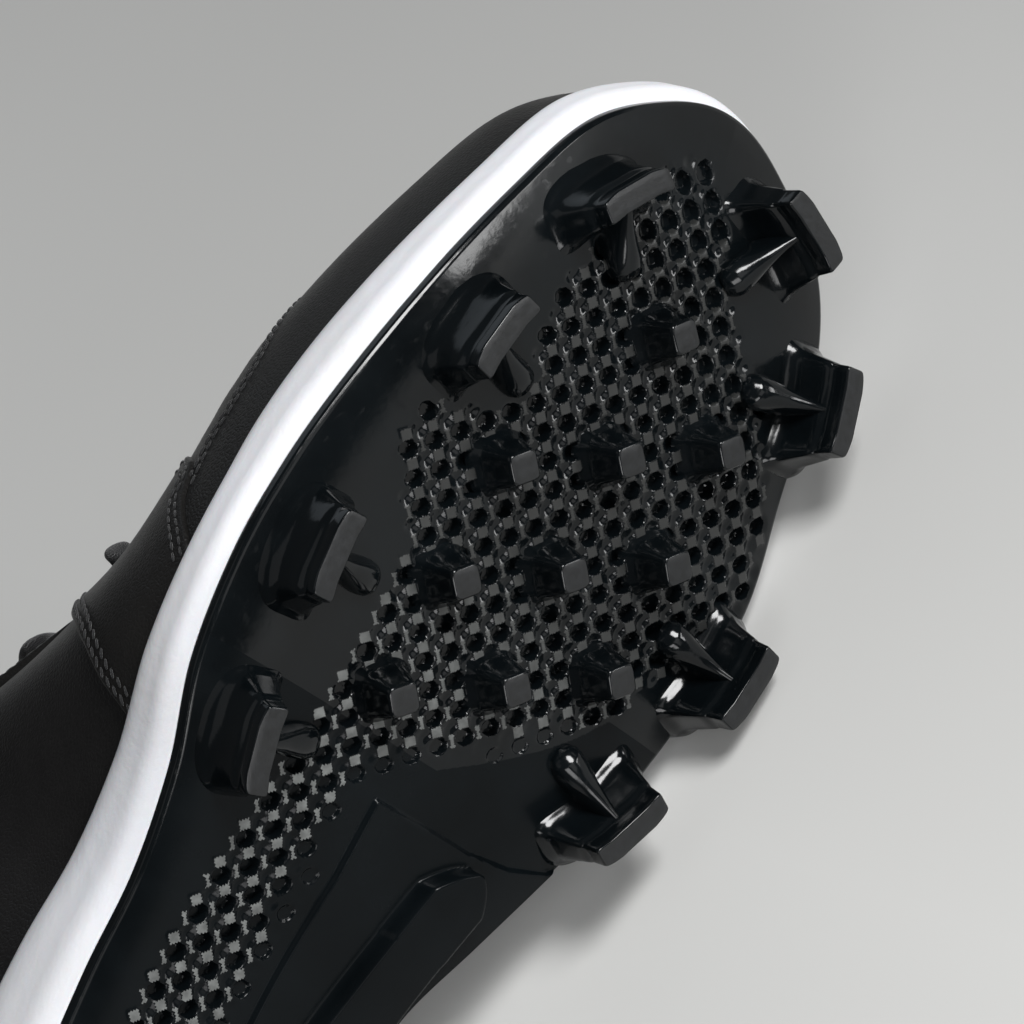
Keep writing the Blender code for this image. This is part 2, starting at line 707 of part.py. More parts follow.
def tongue():
    """Padded tongue under the throat, following the walls where they cover it."""
    inset = WALL + TONGUE_GAP
    shares = np.linspace(TONGUE_FRONT, TONGUE_REAR, 10)
    rows = np.array([1 - TONGUE_UNDERLAP, 1 - TONGUE_UNDERLAP / 2, 1.0])
    sections = [tongue_section(share, rows, inset) for share in shares]
    last, facing = sections[-1]
    middle = last[len(last) // 2]
    direction = middle - sections[-2][0][len(last) // 2]
    direction = direction / np.linalg.norm(direction)
    for k in (1, 2):
        narrowed = middle + (last - middle) * (1 - TONGUE_TAPER * k)
        sections.append((narrowed + direction * TONGUE_TAIL * k / 2, facing))
    rings = []
    for line, normals in sections:
        rings.append(np.concatenate([line, (line - normals * TONGUE_THICKNESS)[::-1]]))
    count = len(rings[0])
    verts = [tuple(point) for ring in rings for point in ring]
    faces = strip_faces(len(rings), count) + cap_faces(len(rings), count)
    return new_object("tongue", verts, faces, TONGUE_FABRIC)


def tongue_section(share, rows, inset):
    """Line across the throat and its normals: under one wall, over, under the other wall."""
    lines = []
    facings = []
    for side in (-1, 1):
        line, outward = skin_frame(side, np.full(len(rows), share), rows)
        lines.append(line - outward * inset)
        facings.append(outward)
    left, right = lines
    start, stop = left[-1], right[-1]
    pull = np.linalg.norm(stop - start)
    leave = (left[-1] - left[-2]) / np.linalg.norm(left[-1] - left[-2])
    arrive = (right[-2] - right[-1]) / np.linalg.norm(right[-2] - right[-1])
    bridge = []
    tilts = []
    for t in BRIDGE:
        bridge.append((2 * t**3 - 3 * t**2 + 1) * start + (t**3 - 2 * t**2 + t) * leave * pull
                      + (3 * t**2 - 2 * t**3) * stop + (t**3 - t**2) * arrive * pull)
        tilt = facings[0][-1] * (1 - t) + facings[1][-1] * t
        tilts.append(tilt / np.linalg.norm(tilt))
    points = np.concatenate([left, np.array(bridge), right[::-1]])
    return points, np.concatenate([facings[0], np.array(tilts), facings[1][::-1]])


def laces():
    """Criss-cross lace over the tongue, both strands joined where they cross."""
    shares = np.linspace(LACE_FRONT, LACE_REAR, LACE_ROWS)
    strands = []
    for first in (-1, 1):
        line = []
        over = []
        side = first
        for start, stop in zip(shares[:-1], shares[1:]):
            points, normals = lace_crossing(side, start, stop)
            line += points[:-1]
            over += normals[:-1]
            side = -side
        line.append(points[-1])
        over.append(normals[-1])
        strands.append(lace_strand(f"strand_{first + 1}", np.array(line), np.array(over)))
    join_union(strands[0], [strands[1]])
    strands[0].name = "laces"
    return strands[0]


def lace_crossing(side, start, stop):
    """Lace from one eyelet over the tongue to the next one on the other side."""
    eyelet_row = (1 + EYESTAY_DEPTH) / 2
    lift = OVERLAY + LACE_CLEARANCE
    span = stop - start
    ends = [skin_frame(side, start, eyelet_row),
            skin_frame(side, start + span * LACE_TURN, 1.0),
            skin_frame(-side, stop - span * LACE_TURN, 1.0),
            skin_frame(-side, stop, eyelet_row)]
    points = [point + normal * lift for point, normal in ends]
    normals = [normal for point, normal in ends]
    for k, t in enumerate(BRIDGE):
        share = start + span * (LACE_TURN + (1 - 2 * LACE_TURN) * t)
        line, facing = tongue_section(share, np.array([0.9, 1.0]), 0.0)
        place = 2 + k if side < 0 else 4 - k
        points.insert(2 + k, line[place] + facing[place] * LACE_CLEARANCE)
        normals.insert(2 + k, facing[place])
    return points, normals


def lace_strand(name, line, over):
    """Flat strip along a line, its face square to the given normals."""
    along = np.gradient(line, axis=0)
    along = along / np.linalg.norm(along, axis=1, keepdims=True)
    side = np.cross(along, over)
    side = side / np.linalg.norm(side, axis=1, keepdims=True)
    half = side * LACE_WIDTH / 2
    thick = over * LACE_THICKNESS
    rings = [[p - h, p + h, p + h + t, p - h + t] for p, h, t in zip(line, half, thick)]
    verts = [tuple(point) for ring in rings for point in ring]
    faces = strip_faces(len(rings), 4) + cap_faces(len(rings), 4)
    return new_object(name, verts, faces, LACE_CORD)


def centre_of_mass(items):
    """Centre of mass of closed meshes, from the tetrahedra between their faces and the origin."""
    mass = 0.0
    moment = np.zeros(3)
    for item in items:
        item.data.calc_loop_triangles()
        corners = np.array([[item.data.vertices[k].co for k in triangle.vertices]
                            for triangle in item.data.loop_triangles])
        volume = np.einsum("ij,ij->i", corners[:, 0], np.cross(corners[:, 1], corners[:, 2])) / 6
        density = DENSITY[item.data.materials[0].name]
        mass += density * volume.sum()
        moment += density * (volume[:, None] * corners.sum(axis=1) / 4).sum(axis=0)
    return Vector(moment / mass)


def resting_plane(items):
    """Outward normal and distance of the hull's face that the shoe lies on, medial side down."""
    hull = bmesh.new()
    for item in items:
        for vertex in item.data.vertices:
            hull.verts.new(vertex.co)
    bmesh.ops.convex_hull(hull, input=hull.verts)
    centre = centre_of_mass(items)
    best = None
    for face in hull.faces:
        normal = face.normal
        middle = face.calc_center_median()
        if (middle - centre).dot(normal) < 0:
            normal = -normal
        drop = normal * (middle - centre).dot(normal)
        if normal.y < 0.5:
            continue
        foot = centre + drop
        if bmesh.geometry.intersect_face_point(face, foot):
            best = (normal.copy(), middle.dot(normal))
    hull.free()
    return best


def cut_flat(item, height):
    """Cut an object level a little above the floor and close the cut."""
    shape = bmesh.new()
    shape.from_mesh(item.data)
    everything = shape.verts[:] + shape.edges[:] + shape.faces[:]
    bmesh.ops.bisect_plane(shape, geom=everything, plane_co=(0, 0, height), plane_no=(0, 0, -1),
                           clear_outer=True, dist=1e-7)
    edges = [edge for edge in shape.edges if edge.is_boundary]
    if edges:
        bmesh.ops.holes_fill(shape, edges=edges)
        bmesh.ops.triangulate(shape, faces=shape.faces)
    shape.to_mesh(item.data)
    shape.free()


def lay_on_side():
    """Turn every mesh so that the medial side rests on z = 0, then flatten what touches."""
    items = [item for item in bpy.data.objects if item.type == "MESH"]
    normal, distance = resting_plane(items)
    forward = Vector((1, 0, 0))
    forward = (forward - normal * forward.dot(normal)).normalized()
    up = -normal
    turn = Matrix((forward, up.cross(forward), up)).to_4x4()
    lift = Matrix.Translation((0, 0, distance - REST_FLAT))
    for item in items:
        item.data.transform(lift @ turn)
        cut_flat(item, 0.0)
    spread = np.array([vertex.co for item in items for vertex in item.data.vertices])
    middle = (spread.min(axis=0) + spread.max(axis=0)) / 2
    for item in items:
        item.data.transform(Matrix.Translation((-middle[0], -middle[1], 0)))
        item.data.update()


def main():
    clear_scene()
    outsole_plate()
    midsole()
    build_upper()
    insole()
    tongue()
    laces()
    lay_on_side()


main()
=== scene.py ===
"""Looks of a right baseball cleat that lies on its medial side on a pale studio floor.

Every piece is drawn upright in metres, +X from heel to toe, +Y towards the medial side and +Z up,
with the plate's heel end at x = 0. lay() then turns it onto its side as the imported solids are.
The tables repeat the sections of the solids, and their rows are shares of the named sizes.
"""

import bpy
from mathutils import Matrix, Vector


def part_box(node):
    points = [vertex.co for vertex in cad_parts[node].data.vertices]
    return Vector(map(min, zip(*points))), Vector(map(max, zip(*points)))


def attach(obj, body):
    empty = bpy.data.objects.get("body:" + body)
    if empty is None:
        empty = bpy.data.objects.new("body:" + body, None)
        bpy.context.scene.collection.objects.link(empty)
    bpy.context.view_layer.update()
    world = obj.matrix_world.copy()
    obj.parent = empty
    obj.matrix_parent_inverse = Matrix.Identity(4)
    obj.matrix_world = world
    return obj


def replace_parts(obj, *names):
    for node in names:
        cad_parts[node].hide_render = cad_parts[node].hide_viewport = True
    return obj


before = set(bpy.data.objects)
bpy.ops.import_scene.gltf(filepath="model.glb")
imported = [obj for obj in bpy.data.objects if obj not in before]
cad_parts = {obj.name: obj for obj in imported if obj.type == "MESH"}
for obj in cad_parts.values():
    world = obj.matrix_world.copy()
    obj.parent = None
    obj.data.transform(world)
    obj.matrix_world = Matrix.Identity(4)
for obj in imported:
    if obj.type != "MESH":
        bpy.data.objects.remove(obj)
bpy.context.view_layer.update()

import bpy
import bmesh
import numpy as np
from bpy.props import FloatProperty, PointerProperty, StringProperty
from mathutils import Matrix, Vector

bl_info = {
    "name": "Baseball cleat looks",
    "version": (1, 0, 0),
    "blender": (4, 5, 0),
    "location": "3D View > Sidebar > Cleat",
    "description": "Detailed pieces, materials and stage for the packed baseball cleat",
    "category": "Object",
}

# Sizes that the solids have
PLATE_LENGTH = 0.2855
BALL_WIDTH = 0.095
PLATE_THICKNESS = 0.0034
PLATE_HEIGHT = 0.011
TOE_SPRING = 0.0117
SPRING_START = 0.742
ARCH_RISE = 0.0090
ARCH_PLACE = 0.40
ARCH_REACH = 0.24
CROWN_RADIUS = 0.38
MIDSOLE_HEIGHT = 0.0215
MIDSOLE_FLARE = 0.0022
FIT_GAP = 0.0003
BLADE_HEIGHT = 0.0112
BLADE_LENGTH = 0.0140
BLADE_THICKNESS = 0.0042
BLADE_FLARE = 0.0028
BLADE_BOW = 17.0
GUSSET_REACH = 0.0150
GUSSET_WIDTH = 0.0052
STUD_HEIGHT = 0.0072
STUD_SIDE = 0.0054
STUD_FLARE = 0.0014
STUD_PITCH = 0.0209
STUD_COLUMN = 0.0180
RIDGE_HEIGHT = 0.0034
RIDGE_WIDTH = 0.0155
INSTEP_HEIGHT = 0.072
WALL = 0.0022
FEATHER_INSET = 0.0022
FEATHER_GAP = 0.0005
LASTING_MARGIN = 0.0070
OVERLAY = 0.0011
INSOLE_THICKNESS = 0.0045
INSOLE_PLAY = 0.0012
INSOLE_SEAT = 0.0007
TONGUE_THICKNESS = 0.0040
TONGUE_GAP = 0.0016
TONGUE_FRONT = 0.610
TONGUE_REAR = 0.370
TONGUE_UNDERLAP = 0.16
TONGUE_TAIL = 0.0240
TONGUE_TAPER = 0.12
LACE_WIDTH = 0.0062
LACE_THICKNESS = 0.0018
LACE_ROWS = 6
LACE_CLEARANCE = 0.0013
LACE_TURN = 0.15
LACE_FRONT = 0.578
LACE_REAR = 0.395

# How high the lace bulges over its eyelets: share along and height
LACE_HUMP = {"along": (0.52, 0.545, 0.58), "height": (0.0002, 0.0008, 0.0096)}

# Outward normal of the floor in the upright frame: the plane the shoe lies on
FLOOR_NORMAL = (-0.03494, 0.99345, 0.10879)

# Half widths of the plate, as shares of the ball width, along shares of its length
EDGE = {
    "along": (0.0, 0.02, 0.06, 0.12, 0.20, 0.30, 0.38, 0.44, 0.50, 0.56, 0.62, 0.68,
              0.75, 0.82, 0.89, 0.95, 0.985, 1.0),
    "lateral": (0.010, 0.205, 0.312, 0.362, 0.378, 0.385, 0.384, 0.390, 0.437, 0.516, 0.550,
                0.543, 0.508, 0.450, 0.365, 0.262, 0.125, -0.020),
    "medial": (-0.010, 0.185, 0.305, 0.360, 0.354, 0.280, 0.224, 0.222, 0.277, 0.332, 0.388,
               0.430, 0.450, 0.413, 0.387, 0.306, 0.160, 0.020),
}

# Height of the midsole's side wall, as shares of its height at the heel
SIDE_WALL = {
    "along": (0.0, 0.20, 0.32, 0.40, 0.45, 0.50, 0.55, 0.60, 0.65, 0.70, 0.75, 0.80, 0.86,
              0.92, 0.97, 1.0),
    "height": (1.02, 1.0, 0.92, 0.82, 0.73, 0.635, 0.54, 0.49, 0.475, 0.535, 0.57, 0.55, 0.495,
               0.470, 0.500, 0.535),
}

# The midsole's wall from the plate to the upper: share of its height and of its flare
MIDSOLE_WALL = {
    "level": (0.0, 0.14, 0.45, 0.85, 1.0),
    "out": (0.0, 0.75, 1.0, 0.85, 0.45),
}

# The upper's wall on each side, with the same columns as the solids' tables
LATERAL = {
    "foot": (0.0, 0.05, 0.14, 0.25, 0.36, 0.46, 0.56, 0.62, 0.72, 0.84, 0.93, 1.0),
    "top": (0.022, 0.045, 0.120, 0.225, 0.325, 0.435, 0.580, 0.665, 0.735, 0.790, 0.830, 0.850),
    "half": (0.000, 0.190, 0.300, 0.315, 0.265, 0.210, 0.150, -0.060, -0.070, -0.050, -0.035,
             -0.030),
    "height": (1.020, 0.960, 0.830, 0.830, 1.120, 1.250, 0.940, 0.740, 0.650, 0.570, 0.520, 0.490),
    "rise": (0.36, 0.36, 0.38, 0.40, 0.42, 0.44, 0.43, 0.35, 0.36, 0.37, 0.38, 0.40),
    "roll": (0.30, 0.30, 0.30, 0.30, 0.32, 0.38, 0.44, 0.47, 0.47, 0.50, 0.52, 0.52),
    "lean": (86.0, 86.0, 88.0, 88.0, 76.0, 58.0, 40.0, 0.0, 0.0, 0.0, 0.0, 0.0),
    "swell": (0.16, 0.16, 0.16, 0.14, 0.14, 0.15, 0.12, 0.05, 0.06, 0.08, 0.10, 0.12),
}
MEDIAL = {
    "foot": LATERAL["foot"],
    "top": LATERAL["top"],
    "half": (0.000, 0.190, 0.315, 0.335, 0.275, 0.205, 0.185, 0.060, 0.070, 0.050, 0.035, 0.030),
    "height": (1.020, 0.970, 0.860, 0.880, 1.140, 1.250, 0.940, 0.740, 0.650, 0.570, 0.520, 0.490),
    "rise": (0.36, 0.36, 0.38, 0.42, 0.46, 0.46, 0.44, 0.42, 0.40, 0.40, 0.40, 0.42),
    "roll": (0.30, 0.30, 0.30, 0.30, 0.34, 0.34, 0.36, 0.46, 0.50, 0.52, 0.52, 0.52),
    "lean": (86.0, 86.0, 88.0, 88.0, 76.0, 58.0, 40.0, 0.0, 0.0, 0.0, 0.0, 0.0),
    "swell": (0.16, 0.16, 0.16, 0.16, 0.16, 0.14, 0.12, 0.14, 0.16, 0.16, 0.16, 0.14),
}

# Where the panels of the upper meet, as shares of the plate's length at the sole's edge
COUNTER_FRONT = 0.25
THROAT_REAR = 0.36
LEG_REAR = 0.50
LEG_FRONT = 0.616
THROAT_FRONT = 0.62
EYESTAY_DEPTH = 0.74

# Blades round the plate's edge: place along and across as shares, turn in degrees
BLADES = {
    "along": (0.907, 0.798, 0.643, 0.536, 0.951, 0.871, 0.7065, 0.6025,
              0.285, 0.130, 0.285, 0.130, 0.030),
    "across": (-0.226, -0.360, -0.458, -0.390, 0.160, 0.366, 0.426, 0.335,
               -0.315, -0.285, 0.215, 0.262, 0.0),
    "turn": (37.0, 12.0, -4.0, -20.0, 114.0, -11.0, 8.0, 22.0,
             0.0, 8.0, 5.0, -8.0, 90.0),
}

# A blade from root to tip: depth as a share of its height, and the shares of the flare that
# are added to its half length and half width, and how square its corners are
BLADE_PROFILE = {
    "depth": (-0.280, -0.08, 0.0, 0.05, 0.11, 0.20, 0.36, 0.52, 0.655, 0.672, 0.80, 0.962,
              0.99, 1.0),
    "length": (1.85, 1.60, 1.30, 1.12, 1.00, 0.88, 0.70, 0.52, 0.37, 0.29, 0.24, 0.18,
               0.14, 0.09),
    "width": (1.75, 1.45, 1.05, 0.84, 0.68, 0.54, 0.38, 0.25, 0.15, 0.07, 0.04, 0.00,
              -0.03, -0.08),
    "square": (3.6, 3.8, 4.2, 4.6, 5.0, 5.6, 6.4, 7.0, 7.5, 8.0, 9.0, 9.0, 9.0, 9.0),
}

# A gusset from the blade inwards: shares of its reach, of the blade's height and of its width
GUSSET_PROFILE = {
    "reach": (-0.03, 0.12, 0.30, 0.50, 0.66, 0.78, 0.88, 0.96, 1.0),
    "height": (0.88, 0.74, 0.60, 0.47, 0.39, 0.33, 0.26, 0.14, 0.0),
    "width": (0.40, 0.58, 0.78, 0.98, 1.14, 1.20, 1.10, 0.76, 0.05),
}

# A square stud from root to tip: depth as a share of its height, share of its flare, squareness
STUD_PROFILE = {
    "depth": (-0.195, -0.02, 0.07, 0.17, 0.30, 0.60, 0.90, 0.965, 1.0),
    "flare": (2.30, 1.75, 1.32, 1.02, 0.82, 0.42, 0.04, -0.04, -0.26),
    "square": (3.0, 3.2, 3.6, 4.0, 4.4, 5.0, 5.4, 5.4, 5.4),
}

# The ridge on the shank: place along and across as shares, width and height as shares
RIDGE = {
    "along": (0.200, 0.230, 0.300, 0.370, 0.430, 0.480, 0.510, 0.530, 0.538),
    "across": (0.000, 0.010, 0.030, 0.080, 0.118, 0.140, 0.152, 0.161, 0.165),
    "width": (0.85, 0.88, 0.95, 0.98, 1.00, 0.98, 0.84, 0.50, 0.26),
    "height": (0.33, 1.0, 1.0, 1.0, 1.0, 1.0, 1.0, 0.55, 0.20),
}

# Square studs: column across and place along, counted in pitches from the middle stud
SQUARE_STUDS = ((0.0, 0.0), (0.0, 1.0), (0.0, -1.0), (0.0, 2.05), (-1.0, 0.5), (-1.0, -0.5),
                (-1.0, -1.5), (1.0, 0.5), (1.0, -0.5), (1.0, 1.5))
MIDDLE_STUD = 0.7075
HEEL_END = 0.45

# The tread's lattice: a hollow at its first place, and the two steps to the next ones
TREAD_START = (0.2062, -0.0345)
TREAD_STEPS = ((0.003551, 0.003552), (-0.003506, 0.003483))

# Near the toe the hollows grow into slots: over this run of x, slanted by y times the slant
SLOT_RUN = (0.238, 0.252)
SLOT_SLANT = 0.35

# A round hollow: its squeeze along the first direction, and along the second where it is a
# slot; its wide shallow bowl (share of the depth, rim, run); and the run of its steep wall
HOLLOW_SQUEEZE = (0.88, 0.32)
HOLLOW_BOWL = (0.24, 1.12, 0.55)
HOLLOW_WALL = (0.70, 0.52)

# A square pip: half side at its foot and at its top, and the half sides of its rubbed top
PIP_SIDE = (0.00130, 0.00100)
PIP_TOP = (0.00092, 0.00088)

# Ridges between two hollows take the pale pip colour as a painted highlight: half waist, flare
# over a length, half length, and the place along the sole beyond which no pip top or ridge is pale
GLINT_WAIST = 0.00026
GLINT_FLARE = (0.30, 0.0012)
GLINT_REACH = 0.00115
PALE_TREAD_END = 0.267

# Over this run of the lying shoe's length the pale pips and the painted highlight ridges fade to
# dark
PALE_TREAD_FADE = (0.020, 0.058)

# The duller plastic lies behind the first place, and up to the second beyond the tread's edge
DULL_END = (0.164, 0.186)
DULL_GAP = 0.0015

# Columns of the mesh across the underside, and points round a blade, a stud and a lace
UNDERSIDE_COLUMNS = 300
BLADE_POINTS = 56
STUD_POINTS = 40
LACE_POINTS = 24

# Bounds of the tread across the sole, in metres, and how strong it is there
TREAD = {
    "along": (0.096, 0.104, 0.112, 0.125, 0.140, 0.150, 0.157, 0.163, 0.170, 0.178, 0.188, 0.196,
              0.204, 0.209, 0.215, 0.220, 0.228, 0.236, 0.244, 0.252, 0.262, 0.270, 0.276),
    "lateral": (-0.0262, -0.0272, -0.0280, -0.0282, -0.0278, -0.0272, -0.0268, -0.0262, -0.0262,
                -0.0262, -0.0262, -0.0290, -0.0345, -0.0366, -0.0330, -0.0216, -0.0200, -0.0215,
                -0.0210, -0.0185, -0.0140, -0.0100, -0.0080),
    "medial": (-0.0080, -0.0080, -0.0080, -0.0080, -0.0100, -0.0110, -0.0100, -0.0040, 0.0060,
               0.0160, 0.0250, 0.0310, 0.0370, 0.0400, 0.0410, 0.0400, 0.0370, 0.0330, 0.0270,
               0.0190, 0.0090, 0.0020, -0.0030),
    "strength": (0.9, 1.0, 1.0, 1.0, 0.95, 0.90, 0.85, 0.80, 0.80, 0.90, 1.0, 1.0, 1.0, 1.0, 1.0,
                 1.0, 1.0, 1.0, 1.0, 1.0, 1.0, 0.9, 0.5),
}

# Raised panel under the shank: its front edge along, and its lateral edge across, in metres
PANEL_FRONT = {"across": (-0.012, 0.013, 0.022, 0.030, 0.034, 0.060),
               "along": (0.1555, 0.1560, 0.1572, 0.1600, 0.1640, 0.1700)}
PANEL_SIDE = {"along": (0.080, 0.113, 0.141, 0.150, 0.157, 0.180),
              "across": (-0.0070, -0.0070, -0.0072, -0.0082, -0.0090, -0.0090)}

# The panel's sloped edge, and where it and the ridge come on behind, as a run of x and of shares
PANEL_EDGE = 0.0010
PANEL_REAR = (0.02, 0.05)
RIDGE_REAR = (0.20, 0.235)

# The ridge's sloped side, the share of the length its round nose takes, and its taper there
RIDGE_SLOPE = 0.0022
RIDGE_NOSE = 0.022
RIDGE_TAPER = ((0.48, 0.538), (1.0, 0.26))

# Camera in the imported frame, and its lens for a sensor 36 mm wide
CAMERA_PLACE = (-0.19036614, -1.09448267, 0.9643139)
CAMERA_RIGHT = (0.46644254, -0.64448747, -0.60561167)
CAMERA_DOWN = (-0.86538509, -0.19312316, -0.46205716)
CAMERA_VIEW = (0.18073328, 0.74026631, -0.64754645)
CAMERA_LENS = 303.2

# Faint light of the room, and the floor's half side
AIR_STRENGTH = 0.09
AIR_COLOUR = (0.9, 0.92, 0.95, 1.0)
FLOOR_HALF = 5.0

# Painted shade on the floor: it darkens to a share of its colour along a direction, over a run of
# metres
FLOOR_SHADE_DIRECTION = (1.03, -0.03, 0.0)
FLOOR_SHADE_RUN = (0.04, 0.20)
FLOOR_SHADE_SHARE = 0.70

# Softboxes: name, place, aim, size, watts and colour
WHITE = (1.0, 1.0, 1.0)
COOL = (0.86, 0.96, 1.05)
LIGHTS = (
    ("key", (0.70, -0.80, 0.95), (0.0, 0.0, 0.05), (0.45, 0.45), 18.5, WHITE),
    ("top", (-0.5, 0.2, 1.6), (0.0, 0.0, 0.0), (1.2, 1.2), 1.4, WHITE),
    ("left", (-0.65, -0.85, 0.38), (0.05, -0.05, 0.05), (0.50, 0.42), 4.0, WHITE),
    ("front", (0.1, -1.7, 0.9), (0.0, 0.0, 0.05), (1.0, 1.0), 3.0, WHITE),
    ("back", (0.75, 1.1, 0.75), (0.1, 0.0, 0.0), (0.8, 0.8), 1.1, COOL),
    ("strip", (0.62, -0.66, 0.11), (0.2, 0.0, 0.06), (0.40, 0.09), 1.5, WHITE),
)

# The plate's underside curls up to its edge: by how much, and from how far in
EDGE_RISE = 0.0015
EDGE_REACH = 0.0150

# Where the plate's three runs of columns meet
PLATE_SPLITS = (0.545, 0.757)

# Leather panels: height over the skin, of the legs that lie on top, how far the toe piece goes
# under them as a share, and the width of their rounded edges
PANEL_LIFT = 0.0009
LEG_LIFT = 0.0017
TOE_LAP = 0.006
PANEL_ROLL = 0.0007

# A panel's edge is tucked this far under the skin, over a share of its rounded edge
PANEL_TUCK = 0.0004
TUCK_SHARE = 0.3

# Extra fullness over the toe, and beside the front of the throat: height, the shares along
# where it comes on (for the throat, its middle and reach), and the rows where it comes on
TOE_SWELL = 0.0012
TOE_ALONG = (0.68, 0.76)
TOE_ROWS = (0.04, 0.40)
THROAT_SWELL = 0.0014
THROAT_ALONG = (0.585, 0.07)
THROAT_ROWS = (0.35, 0.75)

# The leg's two seams: share along by the row up from the sole
LEG = {
    "row": (0.0, 0.045, 0.10, 0.145, 0.167, 0.20, 0.30, 0.50, 0.74, 1.0),
    "rear": (0.5185, 0.5255, 0.533, 0.5405, 0.5435, 0.548, 0.557, 0.565, 0.560, 0.545),
    "front": (0.6152, 0.6270, 0.6385, 0.6490, 0.6610, 0.6690, 0.6730, 0.6640, 0.6400, 0.6165),
}

# Padding inside the collar, added to the wall, and how far its rounded top edge stands up
COLLAR_PAD = 0.0030
COLLAR_ROLL = 0.0012

# The padding comes on over these rows, ends over these shares along, and thins at the top
COLLAR_ROWS = (0.70, 0.86)
COLLAR_END = (0.33, 0.38)
COLLAR_TOP = (1.0, 0.95)

# From the feather line in to the fold of the turned-in margin
MARGIN_FOLD = 0.0012

# The tongue's section and length as high powers: how square the padding is at its edges
TONGUE_SQUARE = (8, 16)

# Half a stitch's length as a share of the pitch, and its points round and from end to end
STITCH_HALF = 0.44
STITCH_POINTS = (8, 6)

# A lace's section: its width and thickness as shares of the solids', and how square it is
LACE_SECTION = (0.78, 1.6, 2.4)

# How strongly the surfaces mirror, as specular levels
PLATE_MIRROR = 0.31
MATT_MIRROR = 0.13
LEATHER_MIRROR = 0.3
FLOOR_MIRROR = 0.2

# Roughness from the smooth to the dull places of each finish
PLATE_ROUGH = (0.09, 0.18)
MATT_ROUGH = (0.16, 0.26)
SATIN_ROUGH = (0.28, 0.42)
TIP_ROUGH = (0.38, 0.55)
FOAM_ROUGH = (0.42, 0.58)
CLOTH_ROUGH = (0.75, 0.95)

# Patterns in cells to the metre, with one cell's size: haze in the plastic 17 mm, its scuffs
# 2.4 mm, its fine skin 1.1 mm, scratches on the tips 2.6 mm and their marks 1.4 mm, marks on
# the pips 2 mm, clouds in the foam 29 mm, its creases 6 mm and its skin 0.8 mm, leather grain
# 0.9 mm, pores 0.4 mm and patches 18 mm, lint 1.1 mm. Real grain and pores are about half as
# wide, and are drawn this coarse so that they show in the render.
HAZE = 60.0
SCUFFS = 420.0
PLATE_SKIN = 900.0
TIP_SCRATCHES = 380.0
TIP_MARKS = 700.0
PIP_MARKS = 500.0
FOAM_CLOUDS = 35.0
FOAM_CREASES = 170.0
FOAM_SKIN = 1300.0
GRAIN = 1150.0
PORES = 2600.0
PATCHES = 55.0
LINT = 900.0

# Walking creases over the vamp: share along, half width, depth, and shift with the row
CREASES = {
    "along": (0.655, 0.690, 0.728),
    "reach": (0.010, 0.012, 0.011),
    "depth": (0.00035, 0.00045, 0.00030),
    "slant": (-0.03, -0.02, 0.0),
}

# The creases come on over these rows, and slant about this one
CREASE_ROWS = (0.25, 0.5)
CREASE_MIDDLE = 0.7

# Seams: sides, shares along, rows up, height over the skin, shift across, and stitch slant
SEAMS = (
    ((-1, 1), LEG["front"], LEG["row"], 0.0017, 0.0017, 0.0),
    ((-1, 1), LEG["front"], LEG["row"], 0.0017, 0.0034, 0.0),
    ((-1, 1), LEG["rear"][:-2], LEG["row"][:-2], 0.0018, -0.0016, 0.45),
    ((-1, 1), LEG["rear"][:-2], LEG["row"][:-2], 0.0018, -0.0034, 0.45),
    ((-1, 1), (0.6530, 0.683, 0.7125, 0.75, 0.80, 0.825, 0.83),
     (0.140, 0.165, 0.167, 0.22, 0.42, 0.7, 1.0), 0.0010, 0.0, 0.0),
    ((-1, 1), (0.6500, 0.683, 0.7125, 0.75, 0.80, 0.825, 0.83),
     (0.140, 0.165, 0.167, 0.22, 0.42, 0.7, 1.0), 0.0010, 0.0018, 0.0),
    ((-1, 1), (0.365, 0.43, 0.5, 0.55), (0.765, 0.765, 0.765, 0.765), 0.0017, 0.0, 0.0),
    ((-1, 1), (0.365, 0.48, 0.6), (0.975, 0.975, 0.975), 0.0017, 0.0, 0.0),
    ((-1, 1), (0.243, 0.243, 0.243), (0.03, 0.4, 0.71), 0.0010, 0.0, 0.0),
    ((-1, 1), (0.002, 0.12, 0.24), (0.72, 0.72, 0.72), 0.0010, 0.0, 0.0),
)


class CleatSizes(bpy.types.PropertyGroup):
    """Sizes of the details that the solids leave out."""

    hollow_depth: FloatProperty(name="Hollow depth", description="Depth of a tread hollow",
                                default=0.0022, unit="LENGTH")
    hollow_reach: FloatProperty(name="Hollow reach", description="Radius of a tread hollow's rim",
                                default=0.00215, unit="LENGTH")
    dip_depth: FloatProperty(name="Dip depth", description="Depth of the dips between the pips",
                             default=0.0006, unit="LENGTH")
    pip_height: FloatProperty(name="Pip height", description="Height of the square tread pips",
                              default=0.0001, unit="LENGTH")
    panel_height: FloatProperty(name="Panel height", description="Height of the shank's panel",
                                default=0.0010, unit="LENGTH")
    rim_roll: FloatProperty(name="Rim roll", description="Rounding of the plate's outer edge",
                            default=0.0006, unit="LENGTH")
    stitch_pitch: FloatProperty(name="Stitch pitch", description="From one stitch to the next",
                                default=0.0023, unit="LENGTH")
    thread_width: FloatProperty(name="Thread width", description="Width of the sewing thread",
                                default=0.00056, unit="LENGTH")


